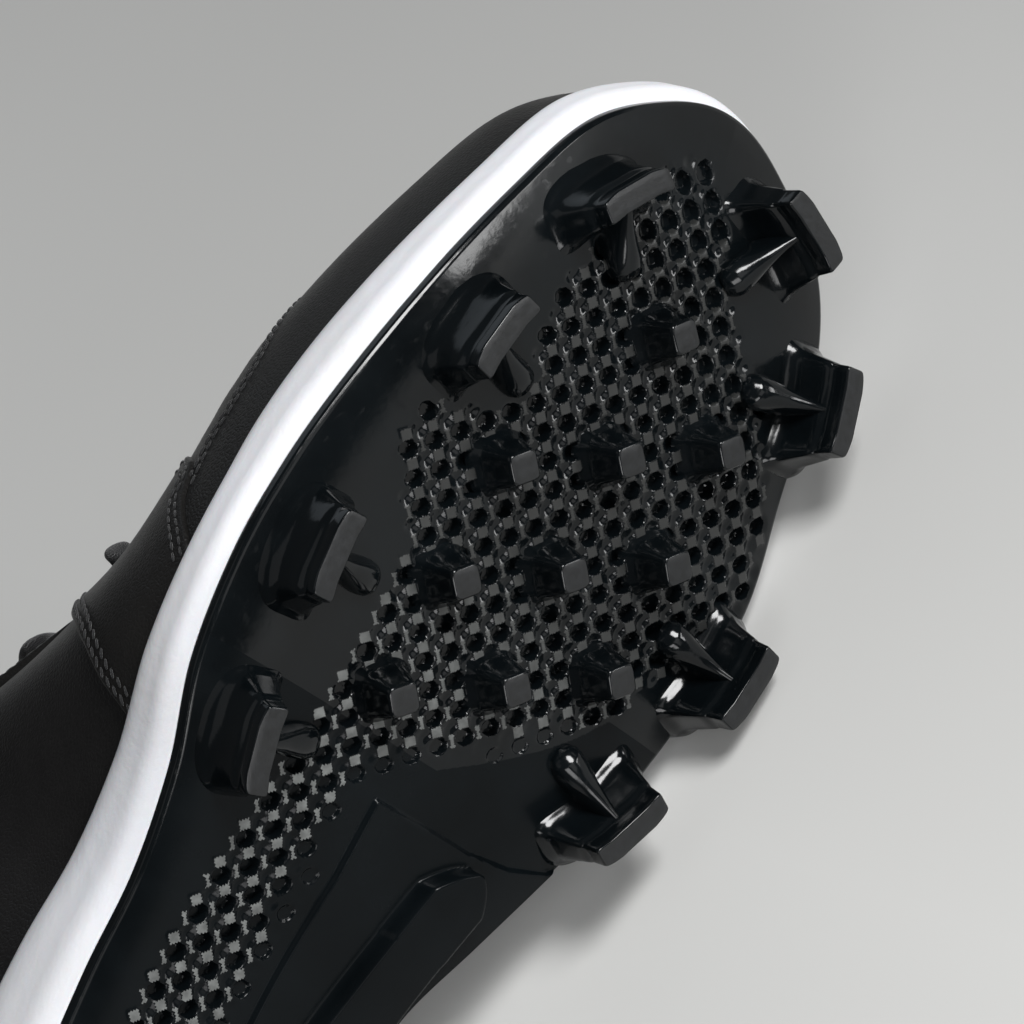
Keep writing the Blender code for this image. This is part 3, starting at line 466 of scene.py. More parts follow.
class CleatColours(bpy.types.PropertyGroup):
    """Colours as sRGB hex values."""

    plate: StringProperty(name="Plate", description="Moulded plate", default="#06090B")
    worn_tip: StringProperty(name="Worn tips", description="Flat tips of the studs",
                             default="#17191B")
    # Pale grey of the pips' rubbed tops, also put on the ridges between hollows as a painted
    # highlight
    pip_and_glint_grey: StringProperty(name="Worn pips", description="Flat tops of the tread's pips",
                             default="#5E605F")
    foam: StringProperty(name="Foam", description="Midsole", default="#E0E1E6")
    leather: StringProperty(name="Leather", description="Upper", default="#100F0F")
    overlay: StringProperty(name="Overlay", description="Toe, eyestay and heel leather",
                            default="#131211")
    thread: StringProperty(name="Thread", description="Sewing thread", default="#101113")
    lining: StringProperty(name="Lining", description="Lining, tongue and insole cloth",
                           default="#1A1A1C")
    lace: StringProperty(name="Lace", description="Woven lace", default="#141416")
    floor: StringProperty(name="Floor", description="Studio floor", default="#D3D3D1")


def linear(hex_colour):
    """Linear RGBA of an sRGB hex value."""
    values = np.array([int(hex_colour[k:k + 2], 16) for k in (1, 3, 5)]) / 255
    low = values / 12.92
    high = ((values + 0.055) / 1.055) ** 2.4
    return (*np.where(values <= 0.04045, low, high).tolist(), 1.0)


def smooth(knots, values, at):
    """Cubic through a table's rows, each slope taken from the rows on both sides."""
    knots = np.asarray(knots, float)
    values = np.asarray(values, float)
    at = np.asarray(at, float)
    slopes = np.gradient(values, knots)
    row = np.clip(np.searchsorted(knots, at, side="right") - 1, 0, len(knots) - 2)
    span = knots[row + 1] - knots[row]
    t = (at - knots[row]) / span
    start = (2 * t**3 - 3 * t**2 + 1) * values[row] + (t**3 - 2 * t**2 + t) * span * slopes[row]
    stop = (3 * t**2 - 2 * t**3) * values[row + 1] + (t**3 - t**2) * span * slopes[row + 1]
    return start + stop


def step(low, high, value):
    """0 below low, 1 above high, and a smooth S between them."""
    t = np.clip((value - low) / (high - low), 0, 1)
    return t * t * (3 - 2 * t)


def unit(vectors):
    """Vectors divided by their lengths."""
    return vectors / np.linalg.norm(vectors, axis=-1, keepdims=True)


def turn_of(share):
    """Angle round the outline, 0 at the heel and pi at the toe, for a share of the length."""
    return np.arccos(np.clip(1 - 2 * np.asarray(share, float), -1, 1))


def plate_edge(angle):
    """Plan of the plate's edge: half widths from the table, medial for a positive angle."""
    angle = (np.asarray(angle, float) + np.pi) % (2 * np.pi) - np.pi
    along = (1 - np.cos(angle)) / 2
    knots = turn_of(EDGE["along"])
    medial = smooth(knots, EDGE["medial"], np.abs(angle))
    lateral = -smooth(knots, EDGE["lateral"], np.abs(angle))
    across = np.where(angle >= 0, medial, lateral)
    return np.stack([PLATE_LENGTH * along, BALL_WIDTH * across], -1)


def offset_edge(angle, out):
    """The plate's edge pushed out square to itself."""
    step_back = 0.02
    along = unit(plate_edge(angle + step_back) - plate_edge(angle - step_back))
    outward = np.stack([-along[..., 1], along[..., 0]], -1)
    return plate_edge(angle) + outward * np.asarray(out)[..., None]


def bump(value, middle, reach):
    """Squared cosine, 1 in the middle and 0 beyond its reach."""
    return np.cos(np.clip((value - middle) / reach, -1, 1) * np.pi / 2) ** 2


def plate_bottom(x, y):
    """Height of the plate's underside: toe spring squared, arch as a hump, crown as y squared."""
    share = x / PLATE_LENGTH
    toe = TOE_SPRING * np.clip((share - SPRING_START) / (1 - SPRING_START), 0, None) ** 2
    arch = ARCH_RISE * bump(share, ARCH_PLACE, ARCH_REACH)
    return PLATE_HEIGHT + toe + arch + y**2 / (2 * CROWN_RADIUS)


def midsole_height(x):
    """Height of the midsole's wall, from the table by the share of the length."""
    share = np.clip(np.asarray(x, float) / PLATE_LENGTH, 0, 1)
    return MIDSOLE_HEIGHT * smooth(SIDE_WALL["along"], SIDE_WALL["height"], share)


def midsole_level(x, y, share):
    """Height at a share of the midsole's wall above the plate."""
    return plate_bottom(x, y) + PLATE_THICKNESS + FIT_GAP + midsole_height(x) * share


def midsole_rim():
    """How far the midsole's top edge stands out from the plate's edge."""
    return MIDSOLE_FLARE * MIDSOLE_WALL["out"][-1]


def upper_foot(angle, inset=FEATHER_INSET):
    """Feather line of the upper: the midsole's top edge pulled in."""
    x, y = np.moveaxis(offset_edge(angle, midsole_rim() - inset), -1, 0)
    return np.stack([x, y, midsole_level(x, y, 1.0) + FEATHER_GAP], -1)


def wall_point(side, share, row):
    """Upper's skin: a cubic curve from the feather line to the top edge for every share."""
    table = MEDIAL if side > 0 else LATERAL
    knots = turn_of(table["foot"])
    angle = turn_of(share)
    foot = upper_foot(side * angle)
    column = {key: smooth(knots, table[key], angle) for key in
              ("top", "half", "height", "rise", "roll", "lean", "swell")}
    top_x = column["top"] * PLATE_LENGTH
    top_y = side * column["half"] * BALL_WIDTH
    base = midsole_level(top_x, 0.0 * top_x, 1.0)
    top = np.stack([top_x, top_y, base + column["height"] * INSTEP_HEIGHT], -1)
    chord = top - foot
    span = np.linalg.norm(chord, axis=-1)
    inward = chord.copy()
    inward[..., 2] = 0
    inward = unit(inward)
    lean = np.radians(column["lean"])
    up = np.array([0.0, 0.0, 1.0])
    rise = (up - inward * column["swell"][..., None]) * (column["rise"] * span)[..., None]
    slope = inward * np.cos(lean)[..., None] + up * np.sin(lean)[..., None]
    roll = slope * (column["roll"] * span)[..., None]
    t = np.asarray(row, float)[..., None]
    return ((1 - t)**3 * foot + 3 * (1 - t)**2 * t * (foot + rise)
            + 3 * (1 - t) * t**2 * (top - roll) + t**3 * top)


def skin_frame(side, share, row):
    """Skin points and outward normals, from the cross product of the skin's two slopes."""
    share = np.asarray(share, float)
    row = np.asarray(row, float)
    point = wall_point(side, share, row)
    ahead = wall_point(side, share + 0.004, row)
    below = wall_point(side, share, row - 0.01)
    normal = unit(np.cross(ahead - point, point - below))
    facing = normal @ np.array([0.0, side * 0.7, 0.7])
    return point, normal * np.sign(facing)[..., None]


def grid_faces(rows, columns, round_columns=False):
    """Quads of a grid, with its last column joined to the first where it goes round."""
    index = np.arange(rows * columns).reshape(rows, columns)
    if round_columns:
        index = np.concatenate([index, index[:, :1]], axis=1)
    corners = (index[:-1, :-1], index[:-1, 1:], index[1:, 1:], index[1:, :-1])
    return np.stack([corner.ravel() for corner in corners], -1)


class Build:
    """Points, faces and material numbers of one mesh, gathered grid by grid."""

    def __init__(self):
        self.points = []
        self.faces = []
        self.marks = []
        self.count = 0

    def grid(self, points, round_columns=False, mark=0, keep=None):
        """Add a grid of points; mark is a material number, or one for each row of quads or for
        each quad, and keep says which quads stay."""
        rows, columns = points.shape[:2]
        faces = grid_faces(rows, columns, round_columns)
        per_row = len(faces) // (rows - 1)
        marks = np.ravel(mark)
        if marks.size != len(faces):
            marks = np.repeat(np.broadcast_to(mark, rows - 1), per_row)
        if keep is not None:
            faces = faces[keep.ravel()]
            marks = marks[keep.ravel()]
        self.points.append(points.reshape(-1, 3))
        self.faces.append(faces + self.count)
        self.marks.append(marks)
        self.count += rows * columns

    def piece(self, name, materials, sharp=40.0):
        """Lay the gathered mesh down and make it an object that rides on the frame."""
        points = lay(np.concatenate(self.points))
        points[:, 2] = np.maximum(points[:, 2], 0.0)
        mesh = bpy.data.meshes.new(name)
        mesh.from_pydata(points.tolist(), [], np.concatenate(self.faces).tolist())
        for material in materials:
            mesh.materials.append(material)
        mesh.polygons.foreach_set("material_index", np.concatenate(self.marks).astype(np.int32))
        shape = bmesh.new()
        shape.from_mesh(mesh)
        bmesh.ops.remove_doubles(shape, verts=shape.verts, dist=2e-6)
        bmesh.ops.dissolve_degenerate(shape, edges=shape.edges, dist=1e-6)
        loose = [vertex for vertex in shape.verts if not vertex.link_faces]
        bmesh.ops.delete(shape, geom=loose, context="VERTS")
        bmesh.ops.recalc_face_normals(shape, faces=shape.faces)
        shape.to_mesh(mesh)
        shape.free()
        mesh.shade_smooth()
        mesh.set_sharp_from_angle(angle=np.radians(sharp))
        result = bpy.data.objects.new(name, mesh)
        bpy.context.scene.collection.objects.link(result)
        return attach(result, "root")


def lying_turn():
    """Rotation that lays the shoe down: the floor's normal goes to -Z and the toe to +X."""
    normal = unit(np.array(FLOOR_NORMAL))
    forward = unit(np.array([1.0, 0.0, 0.0]) - normal * normal[0])
    return np.stack([forward, np.cross(-normal, forward), -normal])


def lay(points):
    """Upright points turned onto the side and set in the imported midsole's box."""
    turned = np.asarray(points) @ lying_turn().T
    angle = np.linspace(-np.pi, np.pi, 721)
    outline = []
    for level, out in zip(*MIDSOLE_WALL.values()):
        x, y = np.moveaxis(offset_edge(angle, MIDSOLE_FLARE * out), -1, 0)
        outline.append(np.stack([x, y, midsole_level(x, y, level)], -1))
    outline = np.concatenate(outline) @ lying_turn().T
    low, high = (np.array(corner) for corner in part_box("midsole"))
    shift = (low + high) / 2 - (outline.min(axis=0) + outline.max(axis=0)) / 2
    return turned + shift


def sizes():
    return bpy.context.scene.cleat_sizes


def colours():
    return bpy.context.scene.cleat_colours


def tread_strength(x, y):
    """How strong the tread is at a place: full inside its bounds, weak towards the waist."""
    low = smooth(TREAD["along"], TREAD["lateral"], x)
    high = smooth(TREAD["along"], TREAD["medial"], x)
    inside = (x > TREAD["along"][0]) & (x < TREAD["along"][-1]) & (y > low) & (y < high)
    rear = step(0.0, 0.010, high - y + step(0.180, 0.190, x) * 0.02)
    return smooth(TREAD["along"], TREAD["strength"], x) * inside * (0.2 + 0.8 * rear)


def nearest_cell(x, y, shift):
    """Distances along the two directions to the nearest lattice place moved by a shift, and the
    tread's strength at that place, so that a hollow is there as a whole or not at all."""
    steps = np.array(TREAD_STEPS)
    place = np.stack([x - TREAD_START[0], y - TREAD_START[1]], -1) @ np.linalg.inv(steps)
    cell = np.round(place - np.array(shift)) + np.array(shift)
    off = (place - cell) * np.linalg.norm(steps[0])
    middle = np.array(TREAD_START) + cell @ steps
    return off[..., 0], off[..., 1], tread_strength(middle[..., 0], middle[..., 1])


def slot_share(x, y):
    """How far the tread has turned from round hollows to slots, 0 to 1."""
    return step(*SLOT_RUN, x + SLOT_SLANT * y)


def pip_shape(x, y):
    """How much a place lies on one of the square pips, 0 to 1."""
    p, q, strength = nearest_cell(x, y, (0.0, 0.5))
    square = step(*PIP_SIDE, np.maximum(np.abs(p), np.abs(q)))
    return square * strength * (1 - 0.6 * slot_share(x, y))


def rubbed_pip_and_glint_shape(x, y):
    """Where the tread takes the pale colour: the pips' rubbed tops, and hourglass ridges between
    the hollows, where it is a painted highlight.
    """
    p, q, strength = nearest_cell(x, y, (0.0, 0.5))
    top = (np.abs(p) < PIP_TOP[0]) & (np.abs(q) < PIP_TOP[1])
    r, t, ridge = nearest_cell(x, y, (0.5, 0.0))
    flare, length = GLINT_FLARE
    # Hourglass ridges between hollows: painted highlight in the pale pip colour
    glint_ridge = (np.abs(r) < GLINT_WAIST + flare * t ** 2 / length) & (np.abs(t) < GLINT_REACH)
    rubbed = np.where(top, strength, 0.0) + np.where(glint_ridge & ~top, ridge, 0.0)
    return np.where(x < PALE_TREAD_END, rubbed, 0.0)


def tread_relief(x, y):
    """Depth of the tread: steep round hollows on the lattice, shallow dips in its cells' middles,
    and flat square pips half a step along the second direction, with ridges left between."""
    s = sizes()
    p, q, strength = nearest_cell(x, y, (0.0, 0.0))
    first, second = HOLLOW_SQUEEZE
    radius = np.hypot(p * first, q * (1 - second * slot_share(x, y))) / s.hollow_reach
    share, rim, run = HOLLOW_BOWL
    bowl = share * np.clip((rim - radius) / run, 0, 1) ** 2
    depth = s.hollow_depth * np.maximum(bowl, step(*HOLLOW_WALL, radius)) * strength
    p, q, strength = nearest_cell(x, y, (0.5, 0.5))
    dip = np.cos(np.clip(np.hypot(p, q) / (s.hollow_reach * 0.95), 0, 1) * np.pi / 2) ** 2
    depth = np.maximum(depth, s.dip_depth * dip * strength)
    pip = pip_shape(x, y)
    return depth * (1 - pip) - s.pip_height * pip


def edge_rise(x, y):
    """How far the underside curls up to its edge: square of the nearness to the outline, the
    gap to each side taken across the shoe and turned square to the edge."""
    angle = turn_of(x / PLATE_LENGTH)
    gaps = []
    for side in (-1, 1):
        edge = plate_edge(side * angle)[..., 1]
        ahead = plate_edge(side * (angle + 0.01)) - plate_edge(side * (angle - 0.01))
        lean = np.abs(ahead[..., 0]) / np.linalg.norm(ahead, axis=-1)
        gaps.append(side * (edge - y) * lean)
    near = np.minimum(*gaps)
    return EDGE_RISE * np.clip(1 - np.clip(near, 0, None) / EDGE_REACH, 0, 1) ** 2


def shank_relief(x, y):
    """Height of the shank's flat panel, and on it the round-nosed ridge from its sections."""
    s = sizes()
    front = np.interp(y, PANEL_FRONT["across"], PANEL_FRONT["along"])
    side = np.interp(x, PANEL_SIDE["along"], PANEL_SIDE["across"])
    panel = step(0.0, PANEL_EDGE, front - x) * step(0.0, PANEL_EDGE, y - side)
    panel = panel * step(*PANEL_REAR, x)
    share = np.clip(x / PLATE_LENGTH, RIDGE["along"][0], RIDGE["along"][-1])
    middle = smooth(RIDGE["along"], RIDGE["across"], share) * BALL_WIDTH
    half = np.interp(share, RIDGE["along"], RIDGE["width"]) * RIDGE_WIDTH / 2
    nose = np.sqrt(np.clip((RIDGE["along"][-1] - x / PLATE_LENGTH) / RIDGE_NOSE, 0, 1))
    half = np.minimum(half / np.interp(share, *RIDGE_TAPER), RIDGE_WIDTH / 2) * nose
    ridge = step(0.0, RIDGE_SLOPE, half - np.abs(y - middle))
    ridge = ridge * step(*RIDGE_REAR, x / PLATE_LENGTH)
    return s.panel_height * panel + RIDGE_HEIGHT * ridge * step(0.0, 0.3, nose)


def on_shank(x, y):
    """The duller part of the underside: waist and heel, and what lies beyond the tread there."""
    bound = smooth(TREAD["along"], TREAD["medial"], np.clip(x, TREAD["along"][0], 0.19))
    return (x < DULL_END[0]) | ((x < DULL_END[1]) & (y > bound + DULL_GAP))


def bottom_surface(x, y):
    """Underside with its relief: the hollows go up into the plate, panel and ridge stand out."""
    return plate_bottom(x, y) + edge_rise(x, y) + tread_relief(x, y) - shank_relief(x, y)


def slab_grid(angles, low, rim, top):
    """Closed slab as columns of one ring each: low and top surfaces across, rim levels between.
    low and top hold the offset of their edge, the places across and their height function."""
    low_out, low_across, low_height = low
    top_out, top_across, top_height = top

    def sheet(out, across, height):
        lateral = offset_edge(-angles, out)[:, None]
        medial = offset_edge(angles, out)[:, None]
        xy = lateral + (medial - lateral) * np.asarray(across)[None, :, None]
        return np.concatenate([xy, height(xy[..., 0], xy[..., 1])[..., None]], -1)

    def wall(side):
        lines = []
        for out, height in rim:
            x, y = np.moveaxis(offset_edge(side * angles, out), -1, 0)
            lines.append(np.stack([x, y, height(x, y)], -1))
        return np.stack(lines, 1)

    return np.concatenate([sheet(low_out, low_across, low_height), wall(1),
                           sheet(top_out, top_across, top_height)[:, ::-1],
                           wall(-1)[:, ::-1]], 1)


def dense_angles():
    """Columns close together over the tread and wider apart over the heel, in three runs."""
    heel, middle = PLATE_SPLITS
    rear = np.concatenate([np.linspace(0.0, 0.31, 46)[1:-1], np.linspace(0.31, heel, 180)])
    front = np.linspace(middle, 0.965, 215)
    tip = np.linspace(turn_of(front[-1]), np.pi, 26)[1:]
    return (np.concatenate([[0.0], turn_of(rear)]), turn_of(np.linspace(heel, middle, 240)),
            np.concatenate([turn_of(front), tip]))


def plate_rim(roll):
    """Quarter circle from the underside to the wall: sine outwards, cosine in height."""
    rim = []
    for turn in np.radians((15, 30, 45, 60, 75, 90)):
        out = -roll * (1 - np.sin(turn))
        lift = EDGE_RISE + roll * (1 - np.cos(turn))
        rim.append((out, lambda x, y, lift=lift: plate_bottom(x, y) + lift))
    return rim


def blade_frame(x, y, turn):
    """Frame on the plate's underside: length, inward and outward directions as columns."""
    small = 0.001
    slope_x = (plate_bottom(x + small, y) - plate_bottom(x - small, y)) / (2 * small)
    slope_y = (plate_bottom(x, y + small) - plate_bottom(x, y - small)) / (2 * small)
    down = unit(np.array([slope_x, slope_y, -1.0]))
    length = np.array([np.cos(turn), np.sin(turn), 0.0])
    length = unit(length - down * (length @ down))
    inward = np.cross(down, length)
    if inward[1] * y > 0:
        inward = -inward
    return np.array([x, y, plate_bottom(x, y)]), np.stack([length, inward, down])


def superellipse(half_length, half_width, square, count):
    """Closed outline with |x/a|^n + |y/b|^n = 1, its points spread by the angle."""
    angle = np.linspace(0, 2 * np.pi, count, endpoint=False) + np.pi / count
    cosine, sine = np.cos(angle), np.sin(angle)
    x = half_length * np.sign(cosine) * np.abs(cosine) ** (2 / square)
    y = half_width * np.sign(sine) * np.abs(sine) ** (2 / square)
    return x, y


def blade_grid(along, across, turn):
    """Perimeter blade: superellipses whose size follows the profile, bowed by length squared."""
    start, axes = blade_frame(along * PLATE_LENGTH, across * BALL_WIDTH, np.radians(turn))
    rings = []
    rows = list(zip(*BLADE_PROFILE.values()))
    for depth, length, width, square in rows:
        x, y = superellipse(BLADE_LENGTH / 2 + BLADE_FLARE * length,
                            BLADE_THICKNESS / 2 + BLADE_FLARE * width, square, BLADE_POINTS)
        level = np.full_like(x, BLADE_HEIGHT * depth)
        rings.append(np.stack([x, y + x**2 * BLADE_BOW, level], -1))
    middle = rings[-1].mean(axis=0)
    rings.append(middle + (rings[-1] - middle) * np.array([0.9, 0.5, 1.0]))
    rings.append(middle + (rings[-1] - middle) * np.array([1.0, 0.0, 1.0]))
    return start + np.stack(rings) @ axes, len(rows) - 1


def gusset_grid(along, across, turn):
    """Rib that props a blade: half ellipses whose height and width follow the profile."""
    start, axes = blade_frame(along * PLATE_LENGTH, across * BALL_WIDTH, np.radians(turn))
    angle = np.linspace(-0.62 * np.pi, 0.62 * np.pi, 25)
    rings = []
    reaches = np.array(GUSSET_PROFILE["reach"])
    at = np.concatenate([np.linspace(reaches[0], 0.8, 16), np.linspace(0.82, 1.0, 12)])
    for reach in at:
        height = np.interp(reach, reaches, GUSSET_PROFILE["height"]) * BLADE_HEIGHT
        half = np.interp(reach, reaches, GUSSET_PROFILE["width"]) * GUSSET_WIDTH / 2
        rings.append(np.stack([half * np.sin(angle), np.full_like(angle, reach * GUSSET_REACH),
                               height * np.cos(angle)], -1))
    return start + np.stack(rings) @ axes


def stud_grid(column, place):
    """Square stud turned a half quarter: superellipses through the profile."""
    x = MIDDLE_STUD * PLATE_LENGTH + place * STUD_PITCH
    start, axes = blade_frame(x, column * STUD_COLUMN + 1e-6, 0.0)
    turn = np.pi / 4
    rings = []
    for depth, flare, square in zip(*STUD_PROFILE.values()):
        half = STUD_SIDE / 2 + STUD_FLARE * flare
        p, q = superellipse(half, half, square, STUD_POINTS)
        rings.append(np.stack([p * np.cos(turn) - q * np.sin(turn),
                               p * np.sin(turn) + q * np.cos(turn),
                               np.full_like(p, STUD_HEIGHT * depth)], -1))
    rings.append(rings[-1] * np.array([0.5, 0.5, 1.0]))
    rings.append(rings[-1] * np.array([0.0, 0.0, 1.0]))
    return start + np.stack(rings) @ axes, len(STUD_PROFILE["depth"]) - 1


def outsole(materials):
    """Moulded plate in three runs, with its tread, panel and ridge and a rounded rim."""
    roll = sizes().rim_roll
    top = (0.0, np.linspace(0, 1, 7), lambda x, y: plate_bottom(x, y) + PLATE_THICKNESS)
    low = (-roll, np.linspace(0, 1, UNDERSIDE_COLUMNS), bottom_surface)
    pieces = []
    for name, angles in zip(("outsole_rear", "outsole_middle", "outsole_front"), dense_angles()):
        build = Build()
        points = slab_grid(angles, low, plate_rim(roll), top)
        middle = (points[:-1] + np.roll(points, -1, axis=1)[1:]) / 2
        mark = np.where(on_shank(middle[..., 0], middle[..., 1]), 2, 0)
        # Pale colour on the pips' rubbed tops and, as a painted highlight, on the ridges between
        # hollows
        mark[rubbed_pip_and_glint_shape(middle[..., 0], middle[..., 1]) > 0.5] = 1
        mark[:, UNDERSIDE_COLUMNS - 1:] = 0
        build.grid(points, round_columns=True, mark=mark)
        pieces.append(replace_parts(build.piece(name, materials), "outsole_plate"))
    return pieces


def stud_set(materials):
    """Blades with their gussets and the square studs, their tips in the worn material."""
    build = Build()
    for along, across, turn in zip(*BLADES.values()):
        points, tip = blade_grid(along, across, turn)
        build.grid(points, round_columns=True, mark=np.arange(len(points) - 1) >= tip)
        if along > HEEL_END:
            build.grid(gusset_grid(along, across, turn))
    for column, place in SQUARE_STUDS:
        points, tip = stud_grid(column, place)
        build.grid(points, round_columns=True, mark=np.arange(len(points) - 1) >= tip)
    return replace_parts(build.piece("stud_set", materials, 50.0), "outsole_plate")


def midsole(materials):
    """Foam wedge: the solids' wall sections joined by cubics."""
    angles = np.linspace(0, np.pi, 260)
    levels = np.array([0.02, 0.05, 0.10, 0.16, 0.25, 0.35, 0.45, 0.55, 0.65, 0.75, 0.85, 0.92,
                       0.97])
    out = MIDSOLE_FLARE * smooth(MIDSOLE_WALL["level"], MIDSOLE_WALL["out"], levels)
    rim = [(o, lambda x, y, level=level: midsole_level(x, y, level))
           for level, o in zip(levels, out)]
    low = (0.0, np.linspace(0, 1, 9), lambda x, y: midsole_level(x, y, 0.0))
    top = (midsole_rim() - 0.0006, np.linspace(0, 1, 9), lambda x, y: midsole_level(x, y, 1.0))
    build = Build()
    build.grid(slab_grid(angles, low, rim, top), round_columns=True)
    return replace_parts(build.piece("foam_midsole", materials, 60.0), "midsole")


def insole(materials):
    """Foot bed with rounded edges on the lasting margin."""
    out = midsole_rim() - FEATHER_INSET - WALL * 1.5 - INSOLE_PLAY
    seat = FEATHER_GAP + WALL + INSOLE_SEAT

    def level(height):
        return lambda x, y: midsole_level(x, y, 1.0) + seat + height * INSOLE_THICKNESS

    rim = [(out - 0.0012 * (1 - np.sin(turn)), level(0.5 - 0.5 * np.cos(turn)))
           for turn in np.linspace(0.3, np.pi - 0.3, 9)]
    low = (out - 0.0012, np.linspace(0, 1, 15), level(0.0))
    top = (out - 0.0012, np.linspace(0, 1, 41), level(1.0))
    build = Build()
    build.grid(slab_grid(np.linspace(0, np.pi, 160), low, rim, top), round_columns=True)
    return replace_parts(build.piece("foot_bed", materials, 60.0), "insole")


def column_shares():
    """Columns of the upper, evenly turned within each zone between two panel edges."""
    zones = ((0.0, COUNTER_FRONT, 50), (COUNTER_FRONT, THROAT_REAR, 22),
             (THROAT_REAR, LEG_REAR, 26), (LEG_REAR, LEG_FRONT, 26),
             (LEG_FRONT, THROAT_FRONT, 2), (THROAT_FRONT, 1.0, 84))
    turns = [np.zeros(1)]
    for start, stop, count in zones:
        turns.append(np.linspace(turn_of(start), turn_of(stop), count + 1)[1:])
    return (1 - np.cos(np.concatenate(turns))) / 2


def skin_relief(share, row):
    """Height added to the skin: fullness of the toe and of the eyestay as smooth steps, less the
    walking creases, squared cosines along the shoe that fade down the side."""
    toe = step(*TOE_ALONG, share) * step(*TOE_ROWS, row)
    throat = bump(share, *THROAT_ALONG) * step(*THROAT_ROWS, row)
    total = TOE_SWELL * toe + THROAT_SWELL * throat
    for along, reach, depth, slant in zip(*CREASES.values()):
        middle = along + slant * (row - CREASE_MIDDLE)
        total = total - depth * bump(share, middle, reach) * step(*CREASE_ROWS, row)
    return total


def skin_sheet(side, across, down):
    """Skin points and normals of one side; both sides share the heel, toe and crown lines."""
    sheets = []
    for hand in (side, -side):
        points = wall_point(hand, across, down)
        slope_along = np.gradient(points, axis=0)
        slope_up = np.gradient(points, axis=1)
        normals = unit(np.cross(slope_along, slope_up)) * hand * -1
        sheets.append((points, normals))
    (points, normals), (other, facing) = sheets
    crown = np.isclose(down, 1.0) & (across >= THROAT_FRONT - 1e-9)
    ends = np.isclose(across, 0.0) | np.isclose(across, 1.0)
    shared = (crown | ends)[..., None]
    points = np.where(shared, (points + other) / 2, points)
    normals = unit(np.where(shared, normals + facing, normals))
    return points, normals


def edge_rows(start, stop, count, near=0.012):
    """Places from start to stop, closer together within near of both ends."""
    close = near * np.array([0.0, 0.12, 0.3, 0.6, 1.0])
    middle = np.linspace(start + near, stop - near, count)[1:-1]
    return np.concatenate([start + close, middle, stop - close[::-1]])


def upper(materials):
    """Hollow shell: leather outside, lining inside, padded collar, rounded top edge."""
    shares = column_shares()
    rows = np.concatenate([np.linspace(0, EYESTAY_DEPTH, 30),
                           np.linspace(EYESTAY_DEPTH, 1, 13)[1:]])
    build = Build()
    for side in (-1, 1):
        across, down = np.meshgrid(shares, rows, indexing="ij")
        points, normals = skin_sheet(side, across, down)
        outer = points + normals * skin_relief(across, down)[..., None]
        pad = COLLAR_PAD * step(*COLLAR_ROWS, down) * (1 - step(*COLLAR_END, across))
        pad = pad * (0.35 + 0.65 * step(*COLLAR_TOP, down))
        inner = points - normals * (WALL + pad)[..., None]
        angle = side * turn_of(shares)
        margin = upper_foot(angle, FEATHER_INSET + LASTING_MARGIN)
        fold = upper_foot(angle, FEATHER_INSET + MARGIN_FOLD)
        up = np.array([0.0, 0.0, 1.0])
        outer = np.concatenate([margin[:, None], fold[:, None], outer], 1)
        inner = np.concatenate([(margin + up * WALL)[:, None], inner], 1)
        open_top = shares < THROAT_FRONT - 1e-9
        top, facing = outer[open_top, -1], normals[open_top, -1]
        rising = unit(points[open_top, -1] - points[open_top, -2])
        half = np.linalg.norm(top - inner[open_top, -1], axis=-1, keepdims=True) / 2
        ring = []
        for turn in np.linspace(0, np.pi, 9):
            ring.append(top - facing * half * (1 - np.cos(turn))
                        + rising * COLLAR_ROLL * np.sin(turn))
        ring = np.stack(ring, 1)
        build.grid(outer)
        build.grid(inner, mark=1)
        build.grid(ring[:, :5])
        build.grid(ring[:, 4:], mark=1)
        build.grid(np.stack([outer[:, 0], inner[:, 0]], 1), mark=1)
    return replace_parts(build.piece("leather_upper", materials, 60.0), "upper")


def panel(name, replaced, sides, across, down, lift, distance, materials, keep=None):
    """Leather panel: it stands off the skin by a quarter ellipse of the distance to its edge."""
    build = Build()
    for side in sides:
        points, normals = skin_sheet(side, across, down)
        gaps = np.linalg.norm(np.diff(points, axis=0), axis=-1)
        along = np.concatenate([np.zeros_like(gaps[:1]), np.cumsum(gaps, axis=0)])
        gaps = np.linalg.norm(np.diff(points, axis=1), axis=-1)
        up = np.concatenate([np.zeros_like(gaps[:, :1]), np.cumsum(gaps, axis=1)], axis=1)
        reach = np.clip(distance(across, down, along, up) / PANEL_ROLL, 0, 1)
        tuck = PANEL_TUCK * (1 - step(0.0, TUCK_SHARE, reach))
        rise = lift * np.sqrt(1 - (1 - reach) ** 2) - tuck
        rise = rise + skin_relief(across, down)
        build.grid(points + normals * rise[..., None], keep=keep)
    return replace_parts(build.piece(name, materials, 70.0), replaced)


def toe_panel(materials):
    """Toe piece: its only open edges are the seam behind it and the feather line."""
    rows = np.concatenate([[0.0, 0.002, 0.006, 0.014, 0.03], np.linspace(0.06, 1, 36)])
    first = turn_of(np.interp(rows, LEG["row"], LEG["front"]) - TOE_LAP)
    w = np.concatenate([[0.0, 0.0008, 0.002, 0.004, 0.008], np.linspace(0.016, 1, 92)])
    down = np.broadcast_to(rows, (len(w), len(rows)))
    across = (1 - np.cos(first[None, :] * (1 - w[:, None]) + np.pi * w[:, None])) / 2
    return panel("toe_piece", "toe_overlay", (-1, 1), across, down, PANEL_LIFT,
                 lambda across, down, along, up: along, materials)


